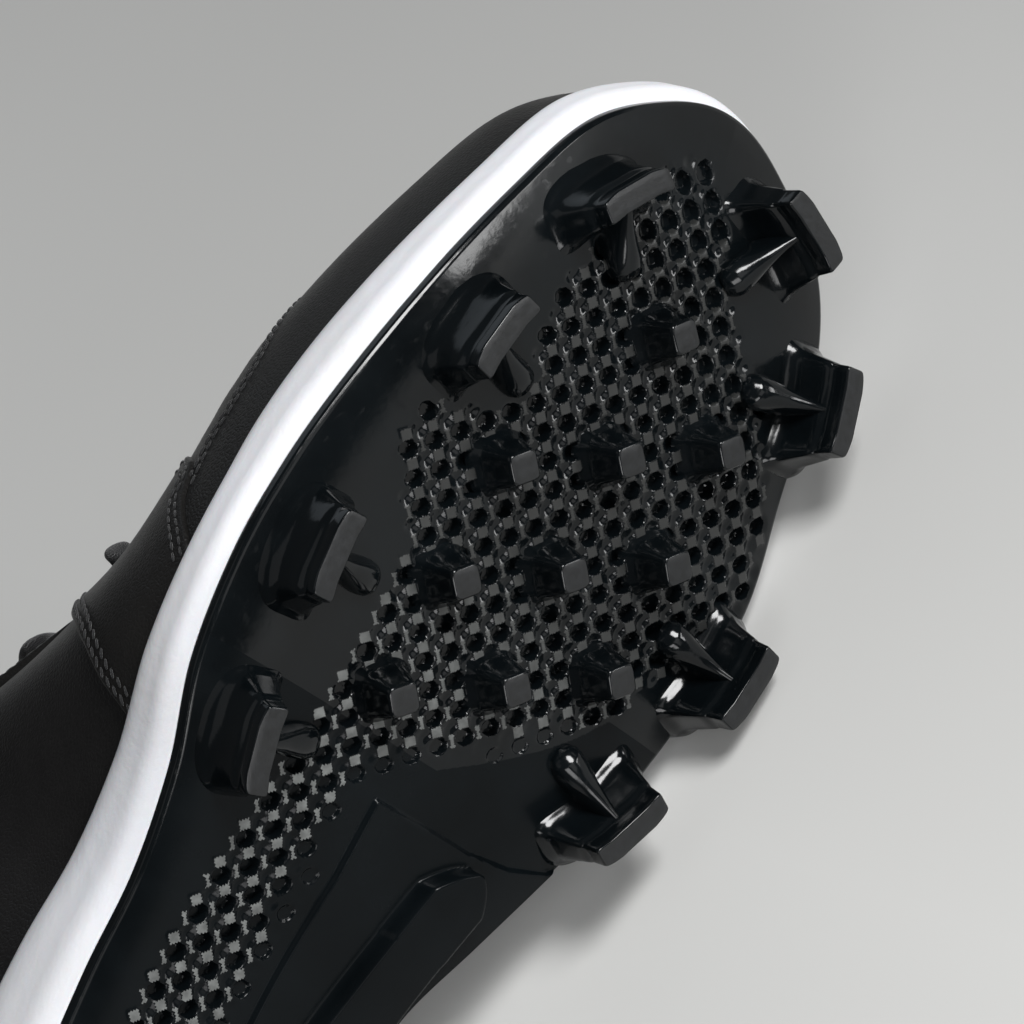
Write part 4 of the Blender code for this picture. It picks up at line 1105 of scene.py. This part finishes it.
def eyestay_panel(name, replaced, side, materials):
    """Strip along the throat with a leg down to the sole, cut as an L from one grid whose
    columns lean with the leg's two seams."""
    near = np.array([0.0006, 0.0014, 0.0026])
    shares = np.concatenate([edge_rows(THROAT_REAR, LEG_REAR, 26, 0.004), LEG_REAR + near,
                             edge_rows(LEG_REAR + 0.004, LEG_FRONT, 26, 0.004)])
    rows = np.concatenate([np.linspace(0.0, EYESTAY_DEPTH - 0.01, 34),
                           EYESTAY_DEPTH + 0.01 * np.array([-0.6, -0.3, 0.0, 0.3, 0.6, 1.0, 1.6]),
                           edge_rows(EYESTAY_DEPTH + 0.03, 1.0, 12, 0.012)])
    across, down = np.meshgrid(shares, rows, indexing="ij")
    rear = np.interp(down, LEG["row"], LEG["rear"])
    front = np.interp(down, LEG["row"], LEG["front"])
    leg = rear + (across - LEG_REAR) / (LEG_FRONT - LEG_REAR) * (front - rear)
    strip = THROAT_REAR + (across - THROAT_REAR) / (LEG_REAR - THROAT_REAR) * (rear - THROAT_REAR)
    across = np.where(across < LEG_REAR, strip, leg)
    corner = int(np.argmin(np.abs(shares - LEG_REAR)))
    shelf = int(np.argmin(np.abs(rows - EYESTAY_DEPTH)))

    def distance(across, down, along, up):
        a = along - along[corner]
        b = up - up[:, shelf:shelf + 1]
        inner = np.where((a > 0) & (b > 0), np.hypot(a, b), np.maximum(a, b))
        ends = np.minimum(along[-1] - along, along)
        return np.clip(np.minimum(np.minimum(inner, ends), up[:, -1:] - up), 0, None)

    column, line = np.meshgrid(np.arange(len(shares) - 1), np.arange(len(rows) - 1), indexing="ij")
    keep = (column >= corner) | (line >= shelf)
    return panel(name, replaced, (side,), across, down, LEG_LIFT, distance, materials, keep)


def heel_panel(materials):
    """Counter round the heel below the collar."""
    first = (1 - np.cos(np.linspace(0, turn_of(COUNTER_FRONT), 54)[:-3])) / 2
    edge = np.array([0.0045, 0.0026, 0.0014, 0.0006, 0.0])
    shares = np.concatenate([first, COUNTER_FRONT - edge])
    rows = np.concatenate([np.linspace(0.0, EYESTAY_DEPTH - 0.02, 26),
                           EYESTAY_DEPTH - 0.01 * np.array([1.4, 1.0, 0.6, 0.3, 0.1, 0.0])])
    across, down = np.meshgrid(shares, rows, indexing="ij")

    def distance(across, down, along, up):
        return np.minimum(along[-1] - along, up[:, -1:] - up)

    return panel("heel_piece", "heel_counter", (-1, 1), across, down, PANEL_LIFT, distance,
                 materials)


def seam_path(side, shares, rows, lift, back=0.0):
    """Dense line over the skin through given places, and the skin's normals along it."""
    knots = np.linspace(0, 1, len(shares))
    at = np.linspace(0, 1, 600)
    share = smooth(knots, shares, at)
    row = smooth(knots, rows, at)
    points, normals = skin_frame(side, share, row)
    points = points + normals * (lift + skin_relief(share, row))[:, None]
    if back:
        along = unit(np.gradient(points, axis=0))
        points = points + np.cross(along, normals) * back
    return points, normals


def stitch_row(build, points, normals, pitch, width, tilt=0.0):
    """Stitches as ellipsoids set along a path at the pitch, each sunk a third into the leather."""
    steps = np.concatenate([[0], np.cumsum(np.linalg.norm(np.diff(points, axis=0), axis=1))])
    at = np.arange(pitch / 2, steps[-1], pitch)
    place = np.stack([np.interp(at, steps, points[:, k]) for k in range(3)], -1)
    facing = unit(np.stack([np.interp(at, steps, normals[:, k]) for k in range(3)], -1))
    along = unit(np.gradient(points, axis=0))
    along = unit(np.stack([np.interp(at, steps, along[:, k]) for k in range(3)], -1))
    side = unit(np.cross(facing, along))
    along = unit(along * np.cos(tilt) + side * np.sin(tilt))
    side = np.cross(facing, along)
    ring = np.linspace(0, 2 * np.pi, STITCH_POINTS[0], endpoint=False)
    pole = np.linspace(0, np.pi, STITCH_POINTS[1])
    for p, f, a, c in zip(place, facing, along, side):
        length = np.cos(pole)[:, None, None] * pitch * STITCH_HALF * a
        round_up = (np.cos(ring)[:, None] * c + np.sin(ring)[:, None] * f) * width / 2
        build.grid(p + length + np.sin(pole)[:, None, None] * round_up, round_columns=True)


def stitching(materials):
    """Seams of the panels, one or two rows each, from the table of seams."""
    s = sizes()
    build = Build()
    for sides, shares, rows, lift, back, tilt in SEAMS:
        for side in sides:
            points, normals = seam_path(side, shares, rows, lift, back * side)
            stitch_row(build, points, normals, s.stitch_pitch, s.thread_width, tilt * side)
    return build.piece("stitching", materials, 80.0)


def tongue_line(share, rows, inset, bridge):
    """Line across the throat and its normals: under one wall, a cubic bridge, under the other."""
    lines = []
    facings = []
    for side in (-1, 1):
        line, outward = skin_frame(side, np.full(len(rows), share), rows)
        lines.append(line - outward * inset)
        facings.append(outward)
    left, right = lines
    start, stop = left[-1], right[-1]
    pull = np.linalg.norm(stop - start)
    leave = unit(left[-1] - left[-2]) * pull
    arrive = unit(right[-2] - right[-1]) * pull
    t = np.asarray(bridge)[:, None]
    middle = ((2 * t**3 - 3 * t**2 + 1) * start + (t**3 - 2 * t**2 + t) * leave
              + (3 * t**2 - 2 * t**3) * stop + (t**3 - t**2) * arrive)
    tilts = unit(facings[0][-1] * (1 - t) + facings[1][-1] * t)
    points = np.concatenate([left, middle, right[::-1]])
    return points, np.concatenate([facings[0], tilts, facings[1][::-1]])


def tongue(materials):
    """Padded tongue: the throat's lines carried back past the collar, thin at all its edges."""
    rows = np.linspace(1 - TONGUE_UNDERLAP, 1, 8)
    bridge = np.linspace(0, 1, 22)[1:-1]
    sections = [tongue_line(share, rows, WALL + TONGUE_GAP, bridge)
                for share in np.linspace(TONGUE_FRONT, TONGUE_REAR, 60)]
    last, facing = sections[-1]
    middle = last[len(last) // 2]
    direction = unit(middle - sections[-4][0][len(last) // 2])
    for k in np.linspace(0, 1, 16)[1:]:
        narrow = 1 - TONGUE_TAPER * 2 * k - 0.30 * np.clip((k - 0.6) / 0.4, 0, 1) ** 2
        sections.append((middle + (last - middle) * narrow + direction * TONGUE_TAIL * k, facing))
    lines = np.stack([line for line, tilts in sections])
    tilts = np.stack([tilts for line, tilts in sections])
    across = np.linspace(-1, 1, lines.shape[1])[None, :]
    along = np.linspace(-1, 1, len(sections))[:, None]
    wide, long = TONGUE_SQUARE
    full = np.sqrt((1 - across**wide) * (1 - along**long))[..., None] * TONGUE_THICKNESS / 2
    core = lines - tilts * TONGUE_THICKNESS / 2
    build = Build()
    build.grid(core + tilts * full)
    build.grid(core - tilts * full)
    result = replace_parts(build.piece("padded_tongue", materials, 60.0), "tongue")
    return result


def lace_line(side, start, stop):
    """Lace from one eyelet over the tongue to the next one on the other side."""
    eyelet_row = (1 + EYESTAY_DEPTH) / 2
    lift = OVERLAY + LACE_CLEARANCE
    span = stop - start
    ends = [skin_frame(side, start, eyelet_row),
            skin_frame(side, start + span * LACE_TURN, 1.0),
            skin_frame(-side, stop - span * LACE_TURN, 1.0),
            skin_frame(-side, stop, eyelet_row)]
    first, last = np.interp((start, stop), LACE_HUMP["along"], LACE_HUMP["height"])
    points = [point + normal * (lift + hump) for (point, normal), hump
              in zip(ends, (first, first * 0.6, last * 0.6, last))]
    normals = [normal for point, normal in ends]
    for k, t in enumerate((0.25, 0.5, 0.75)):
        share = start + span * (LACE_TURN + (1 - 2 * LACE_TURN) * t)
        line, facing = tongue_line(share, np.array([0.9, 1.0]), 0.0, (0.25, 0.5, 0.75))
        place = 2 + k if side < 0 else 4 - k
        rise = LACE_CLEARANCE + LACE_THICKNESS * 0.9 * (side > 0) * (k == 1)
        points.insert(2 + k, line[place] + facing[place] * rise)
        normals.insert(2 + k, facing[place])
    return np.array(points), np.array(normals)


def laces(materials):
    """Two crossing flat strands, each a superellipse strip along a cubic through its points."""
    shares = np.linspace(LACE_FRONT, LACE_REAR, LACE_ROWS)
    build = Build()
    for first in (-1, 1):
        pieces = []
        side = first
        for start, stop in zip(shares[:-1], shares[1:]):
            pieces.append(lace_line(side, start, stop))
            side = -side
        root, facing = skin_frame(first, shares[0] + 0.004, (1 + EYESTAY_DEPTH) / 2)
        points = np.concatenate([root[None]] + [p[:-1] for p, n in pieces] + [pieces[-1][0][-1:]])
        normals = np.concatenate([facing[None]] + [n[:-1] for p, n in pieces]
                                 + [pieces[-1][1][-1:]])
        knots = np.concatenate([[0], np.cumsum(np.linalg.norm(np.diff(points, axis=0), axis=1))])
        at = np.linspace(0, knots[-1], 260)
        line = np.stack([smooth(knots, points[:, k], at) for k in range(3)], -1)
        over = unit(np.stack([smooth(knots, normals[:, k], at) for k in range(3)], -1))
        along = unit(np.gradient(line, axis=0))
        across = unit(np.cross(along, over))
        over = np.cross(across, along)
        wide, thick, square = LACE_SECTION
        p, q = superellipse(LACE_WIDTH / 2 * wide, LACE_THICKNESS / 2 * thick, square,
                            LACE_POINTS)
        narrow = np.ones(len(at))
        narrow[[0, -1]] = 0.0
        p = p[None, :, None] * narrow[:, None, None]
        q = q[None, :, None] * narrow[:, None, None]
        core = line + over * LACE_THICKNESS / 2
        build.grid(core[:, None] + across[:, None] * p + over[:, None] * q, round_columns=True)
    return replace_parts(build.piece("flat_laces", materials, 70.0), "laces")


def put(tree, kind, inputs=None, **settings):
    """Add a node, set it up, and fill its inputs with constants or links."""
    node = tree.nodes.new("ShaderNode" + kind)
    for key, value in settings.items():
        setattr(node, key, value)
    for key, value in (inputs or {}).items():
        if isinstance(value, bpy.types.NodeSocket):
            tree.links.new(value, node.inputs[key])
        else:
            node.inputs[key].default_value = value
    return node


def new_material(name):
    """Empty material with an output; returns it with its tree and its object coordinates."""
    material = bpy.data.materials.new(name)
    material.use_nodes = True
    tree = material.node_tree
    tree.nodes.clear()
    return material, tree, put(tree, "TexCoord").outputs["Object"]


def noise(tree, place, scale, detail=3.0, roughness=0.55, stretch=None):
    """Factor of a noise in the shoe's own metres; stretch scales it along the axes first."""
    if stretch:
        place = put(tree, "Mapping", {"Vector": place, "Scale": stretch}).outputs["Vector"]
    return put(tree, "TexNoise", {"Vector": place, "Scale": scale, "Detail": detail,
                                  "Roughness": roughness}).outputs["Fac"]


def ramp(tree, factor, low, high, dark, light):
    """Map a factor from low..high to dark..light."""
    return put(tree, "MapRange", {"Value": factor, "From Min": low, "From Max": high,
                                  "To Min": dark, "To Max": light}).outputs["Result"]


def blend(tree, factor, first, second):
    """Mix two colours by a factor."""
    node = put(tree, "Mix", data_type="RGBA")
    tree.links.new(factor, node.inputs[0])
    for place, value in ((6, first), (7, second)):
        if isinstance(value, bpy.types.NodeSocket):
            tree.links.new(value, node.inputs[place])
        else:
            node.inputs[place].default_value = value
    return node.outputs[2]


def raise_by(tree, height, distance, strength=1.0, under=None):
    """Bump of a height, over another bump if one is given."""
    inputs = {"Height": height, "Distance": distance, "Strength": strength}
    if under is not None:
        inputs["Normal"] = under
    return put(tree, "Bump", inputs).outputs["Normal"]


def shade(material, tree, inputs):
    """Principled shader with these inputs into the material's output."""
    shader = put(tree, "BsdfPrincipled", inputs)
    put(tree, "OutputMaterial", {"Surface": shader.outputs["BSDF"]})
    return material


def scaled(colour, factor):
    """Colour times a factor, its alpha kept."""
    return (*(min(value * factor, 1.0) for value in colour[:3]), 1.0)


def plate_material():
    """Near-black moulded plastic: gloss with faint flow marks, cloudy haze and fine scuffs."""
    material, tree, place = new_material("black_tpu_moulded")
    base = linear(colours().plate)
    haze = noise(tree, place, HAZE, 4.0)
    cloud = ramp(tree, haze, 0.35, 0.75, 0.0, 1.0)
    scuffs = noise(tree, place, SCUFFS, 2.0, 0.5, (1.0, 4.0, 1.0))
    colour = blend(tree, cloud, scaled(base, 0.85), scaled(base, 1.7))
    worn = ramp(tree, scuffs, 0.60, 0.72, 0.0, 0.10)
    rough = put(tree, "Math", {0: ramp(tree, haze, 0.3, 0.8, *PLATE_ROUGH), 1: worn},
                operation="ADD").outputs[0]
    normal = raise_by(tree, noise(tree, place, PLATE_SKIN, 2.0), 0.00002, 0.5)
    normal = raise_by(tree, haze, 0.0003, 0.35, normal)
    return shade(material, tree, {"Base Color": colour, "Roughness": rough,
                                  "Specular IOR Level": PLATE_MIRROR, "Normal": normal})


def tip_material():
    """The same plastic walked dull: grey, satin, with scratches and blotchy marks."""
    material, tree, place = new_material("black_tpu_worn_tip")
    base = scaled(linear(colours().worn_tip), 0.75)
    marks = noise(tree, place, TIP_MARKS, 5.0, 0.7)
    scratches = noise(tree, place, TIP_SCRATCHES, 3.0, 0.6, (1.0, 12.0, 2.0))
    colour = blend(tree, ramp(tree, marks, 0.35, 0.7, 0.0, 1.0), scaled(base, 0.6),
                   scaled(base, 1.5))
    normal = raise_by(tree, scratches, 0.0001, 0.6)
    return shade(material, tree, {"Base Color": colour,
                                  "Roughness": ramp(tree, marks, 0.3, 0.7, *TIP_ROUGH),
                                  "Normal": normal})


def satin_and_glint_material():
    """The same plastic on the tread's pips, rubbed to a satin grey, and on the ridges between the
    hollows, where the pale grey is a painted highlight.
    """
    material, tree, place = new_material("black_tpu_satin_and_glint")
    base = linear(colours().pip_and_glint_grey)
    marks = noise(tree, place, PIP_MARKS, 3.0)
    colour = blend(tree, ramp(tree, marks, 0.35, 0.7, 0.0, 1.0), scaled(base, 0.7),
                   scaled(base, 1.4))
    far = put(tree, "SeparateXYZ", {"Vector": place}).outputs["X"]
    # Pale colour fades to dark along the lying shoe's length, on the pips and the painted highlight
    # ridges alike
    colour = blend(tree, ramp(tree, far, *PALE_TREAD_FADE, 0.0, 1.0), colour, scaled(base, 0.16))
    return shade(material, tree, {"Base Color": colour,
                                  "Roughness": ramp(tree, marks, 0.3, 0.7, *SATIN_ROUGH)})


def shank_material():
    """The same plastic over the waist and heel, left duller by the mould: a darker soft gloss."""
    material, tree, place = new_material("black_tpu_matt")
    base = linear(colours().plate)
    haze = noise(tree, place, HAZE, 4.0)
    colour = blend(tree, ramp(tree, haze, 0.35, 0.75, 0.0, 1.0), base, scaled(base, 1.8))
    return shade(material, tree, {"Base Color": colour, "Specular IOR Level": MATT_MIRROR,
                                  "Roughness": ramp(tree, haze, 0.3, 0.8, *MATT_ROUGH)})


def foam_material():
    """White moulded foam: fine skin creases, faint yellowing and a soft sheen."""
    material, tree, place = new_material("white_foam_moulded")
    base = linear(colours().foam)
    cloud = noise(tree, place, FOAM_CLOUDS, 4.0)
    warm = (base[0] * 0.93, base[1] * 0.92, base[2] * 0.88, 1.0)
    colour = blend(tree, ramp(tree, cloud, 0.4, 0.75, 0.0, 0.6), base, warm)
    creased = noise(tree, place, FOAM_CREASES, 4.0, 0.55, (1.0, 1.0, 3.2))
    fine = noise(tree, place, FOAM_SKIN, 2.0)
    normal = raise_by(tree, fine, 0.00005, 0.4)
    normal = raise_by(tree, creased, 0.0007, 0.28, normal)
    return shade(material, tree, {"Base Color": colour,
                                  "Roughness": ramp(tree, cloud, 0.3, 0.7, *FOAM_ROUGH),
                                  "Subsurface Weight": 0.08, "Subsurface Scale": 0.002,
                                  "Normal": normal})


def leather_material(name, colour, gloss):
    """Black full-grain leather: a net of small cells, pores, and duller rubbed patches."""
    material, tree, place = new_material(name)
    base = linear(colour)
    cells = put(tree, "TexVoronoi", {"Vector": place, "Scale": GRAIN},
                feature="DISTANCE_TO_EDGE").outputs["Distance"]
    net = ramp(tree, cells, 0.0, 0.25, 0.0, 1.0)
    pores = noise(tree, place, PORES, 2.0)
    patches = noise(tree, place, PATCHES, 4.0)
    tone = blend(tree, ramp(tree, patches, 0.35, 0.75, 0.0, 1.0), scaled(base, 0.8),
                 scaled(base, 1.5))
    normal = raise_by(tree, pores, 0.00006, 0.5)
    normal = raise_by(tree, net, 0.00010, 0.55, normal)
    normal = raise_by(tree, patches, 0.0012, 0.25, normal)
    return shade(material, tree, {"Base Color": tone,
                                  "Roughness": ramp(tree, patches, 0.3, 0.75, gloss, gloss + 0.13),
                                  "Specular IOR Level": LEATHER_MIRROR,
                                  "Normal": normal})


def cloth_material(name, colour, scale, depth):
    """Dark cloth: two crossed sine weaves, lint, and a soft sheen."""
    material, tree, place = new_material(name)
    base = linear(colour)
    lint = noise(tree, place, LINT, 3.0)
    heights = []
    for direction in ("X", "Y", "Z"):
        wave = put(tree, "TexWave", {"Vector": place, "Scale": scale, "Distortion": 0.6},
                   bands_direction=direction)
        heights.append(wave.outputs["Fac"])
    weave = put(tree, "Math", {0: heights[0], 1: heights[1]}, operation="MULTIPLY").outputs[0]
    weave = put(tree, "Math", {0: weave, 1: heights[2]}, operation="ADD").outputs[0]
    tone = blend(tree, ramp(tree, lint, 0.3, 0.8, 0.0, 1.0), scaled(base, 0.7), scaled(base, 1.7))
    normal = raise_by(tree, weave, depth, 0.7)
    return shade(material, tree, {"Base Color": tone,
                                  "Roughness": ramp(tree, lint, 0.3, 0.7, *CLOTH_ROUGH),
                                  "Sheen Weight": 0.25, "Sheen Roughness": 0.4,
                                  "Normal": normal})


def floor_material():
    """Matt studio sheet with a barely seen grain, and painted shade that darkens it towards its
    back.
    """
    material, tree, place = new_material("studio_paper")
    base = linear(colours().floor)
    grain = noise(tree, place, 8.0, 3.0)
    tone = blend(tree, grain, scaled(base, 0.985), scaled(base, 1.015))
    # Painted shade: the sheet's colour darker towards its back
    far = put(tree, "VectorMath", {0: place, 1: FLOOR_SHADE_DIRECTION},
              operation="DOT_PRODUCT").outputs["Value"]
    tone = blend(tree, ramp(tree, far, *FLOOR_SHADE_RUN, 0.0, 1.0), tone,
                 scaled(base, FLOOR_SHADE_SHARE))
    return shade(material, tree, {"Base Color": tone, "Roughness": 0.85,
                                  "Specular IOR Level": FLOOR_MIRROR})


def slotted(piece):
    """Return the piece as it is."""
    return piece


def cleat_material(name, maker, *settings):
    """A material made once and found again by its name."""
    return bpy.data.materials.get(name) or maker(*settings)


def area_light(name, place, aim, size, power, colour):
    """Rectangular softbox at a place, turned to its aim."""
    light = bpy.data.lights.new(name, "AREA")
    light.shape = "RECTANGLE"
    light.size, light.size_y = size
    light.energy = power
    light.color = colour
    result = bpy.data.objects.new(name, light)
    direction = Vector(aim) - Vector(place)
    result.location = place
    result.rotation_euler = direction.to_track_quat("-Z", "Y").to_euler()
    bpy.context.scene.collection.objects.link(result)


def studio():
    """Pale floor, soft lights and the camera at the photograph's angle to the shoe."""
    scene = bpy.context.scene
    mesh = bpy.data.meshes.new("studio_floor")
    half = FLOOR_HALF
    corners = [(-half, -half, 0.0), (half, -half, 0.0), (half, half, 0.0), (-half, half, 0.0)]
    mesh.from_pydata(corners, [], [(0, 1, 2, 3)])
    mesh.materials.append(floor_material())
    ground = bpy.data.objects.new("studio_floor", mesh)
    scene.collection.objects.link(ground)

    world = bpy.data.worlds.new("studio_air")
    world.use_nodes = True
    air = world.node_tree.nodes["Background"]
    air.inputs["Color"].default_value = AIR_COLOUR
    air.inputs["Strength"].default_value = AIR_STRENGTH
    scene.world = world
    for name, place, aim, size, power, colour in LIGHTS:
        area_light(name, place, aim, size, power, colour)

    lens = bpy.data.cameras.new("photo_camera")
    lens.sensor_width = 36.0
    lens.lens = CAMERA_LENS
    lens.clip_start = 0.05
    lens.clip_end = 30.0
    camera = bpy.data.objects.new("photo_camera", lens)
    right, down, view = (np.array(axis) for axis in (CAMERA_RIGHT, CAMERA_DOWN, CAMERA_VIEW))
    turn = Matrix(np.stack([right, -down, -view], 1).tolist()).to_4x4()
    camera.matrix_world = Matrix.Translation(CAMERA_PLACE) @ turn
    scene.collection.objects.link(camera)
    scene.camera = camera
    scene.view_settings.view_transform = "Standard"


class CLEAT_OT_sole(bpy.types.Operator):
    """Add the moulded plate, its studs and the foam midsole"""
    bl_idname = "cleat.sole"
    bl_label = "Add sole"

    def execute(self, context):
        plate = cleat_material("black_tpu_moulded", plate_material)
        tip = cleat_material("black_tpu_worn_tip", tip_material)
        # Rubbed pips and painted highlight ridges of the tread
        satin = cleat_material("black_tpu_satin_and_glint", satin_and_glint_material)
        foam = cleat_material("white_foam_moulded", foam_material)
        dull = cleat_material("black_tpu_matt", shank_material)
        for piece in (*outsole([plate, satin, dull]), stud_set([plate, tip])):
            slotted(piece)
        slotted(midsole([foam]))
        return {"FINISHED"}


class CLEAT_OT_upper(bpy.types.Operator):
    """Add the leather shell with its lining and the foot bed"""
    bl_idname = "cleat.upper"
    bl_label = "Add upper"

    def execute(self, context):
        c = colours()
        leather = cleat_material("black_leather_grain", leather_material,
                                 "black_leather_grain", c.leather, 0.40)
        lining = cleat_material("lining_cloth", cloth_material,
                                "lining_cloth", c.lining, 900.0, 0.0002)
        slotted(upper([leather, lining]))
        slotted(insole([lining]))
        return {"FINISHED"}


class CLEAT_OT_panels(bpy.types.Operator):
    """Add the toe piece, eyestays and heel piece, and the seams that hold them"""
    bl_idname = "cleat.panels"
    bl_label = "Add panels"

    def execute(self, context):
        c = colours()
        leather = cleat_material("overlay_leather_grain", leather_material,
                                 "overlay_leather_grain", c.overlay, 0.36)
        thread = cleat_material("sewing_thread", cloth_material,
                                "sewing_thread", c.thread, 1800.0, 0.0001)
        pieces = [toe_panel([leather]), heel_panel([leather]),
                  eyestay_panel("eyestay_lateral_piece", "eyestay_lateral", -1, [leather]),
                  eyestay_panel("eyestay_medial_piece", "eyestay_medial", 1, [leather]),
                  stitching([thread])]
        for piece in pieces:
            slotted(piece)
        return {"FINISHED"}


class CLEAT_OT_closure(bpy.types.Operator):
    """Add the tongue and the laces"""
    bl_idname = "cleat.closure"
    bl_label = "Add tongue and laces"

    def execute(self, context):
        c = colours()
        knit = cleat_material("tongue_knit", cloth_material, "tongue_knit", c.lining, 600.0, 0.0003)
        lace = cleat_material("lace_weave", cloth_material, "lace_weave", c.lace, 1200.0, 0.0002)
        slotted(tongue([knit]))
        slotted(laces([lace]))
        return {"FINISHED"}


class CLEAT_OT_stage(bpy.types.Operator):
    """Add the floor, the lights and the camera"""
    bl_idname = "cleat.stage"
    bl_label = "Add stage"

    def execute(self, context):
        studio()
        return {"FINISHED"}


class CLEAT_PT_panel(bpy.types.Panel):
    """Sizes and colours of the cleat, and its operators"""
    bl_idname = "CLEAT_PT_panel"
    bl_label = "Cleat"
    bl_space_type = "VIEW_3D"
    bl_region_type = "UI"
    bl_category = "Cleat"

    def draw(self, context):
        for group in (context.scene.cleat_sizes, context.scene.cleat_colours):
            for name in group.bl_rna.properties.keys():
                if name not in ("rna_type", "name"):
                    self.layout.prop(group, name)
        for operator in OPERATORS:
            self.layout.operator(operator.bl_idname)


OPERATORS = (CLEAT_OT_sole, CLEAT_OT_upper, CLEAT_OT_panels, CLEAT_OT_closure, CLEAT_OT_stage)
CLASSES = (CleatSizes, CleatColours, *OPERATORS, CLEAT_PT_panel)


def register():
    for item in CLASSES:
        bpy.utils.register_class(item)
    bpy.types.Scene.cleat_sizes = PointerProperty(type=CleatSizes)
    bpy.types.Scene.cleat_colours = PointerProperty(type=CleatColours)


def unregister():
    del bpy.types.Scene.cleat_colours
    del bpy.types.Scene.cleat_sizes
    for item in reversed(CLASSES):
        bpy.utils.unregister_class(item)


def main():
    register()
    bpy.ops.cleat.sole()
    bpy.ops.cleat.upper()
    bpy.ops.cleat.panels()
    bpy.ops.cleat.closure()
    bpy.ops.cleat.stage()


if __name__ == "__main__":
    main()
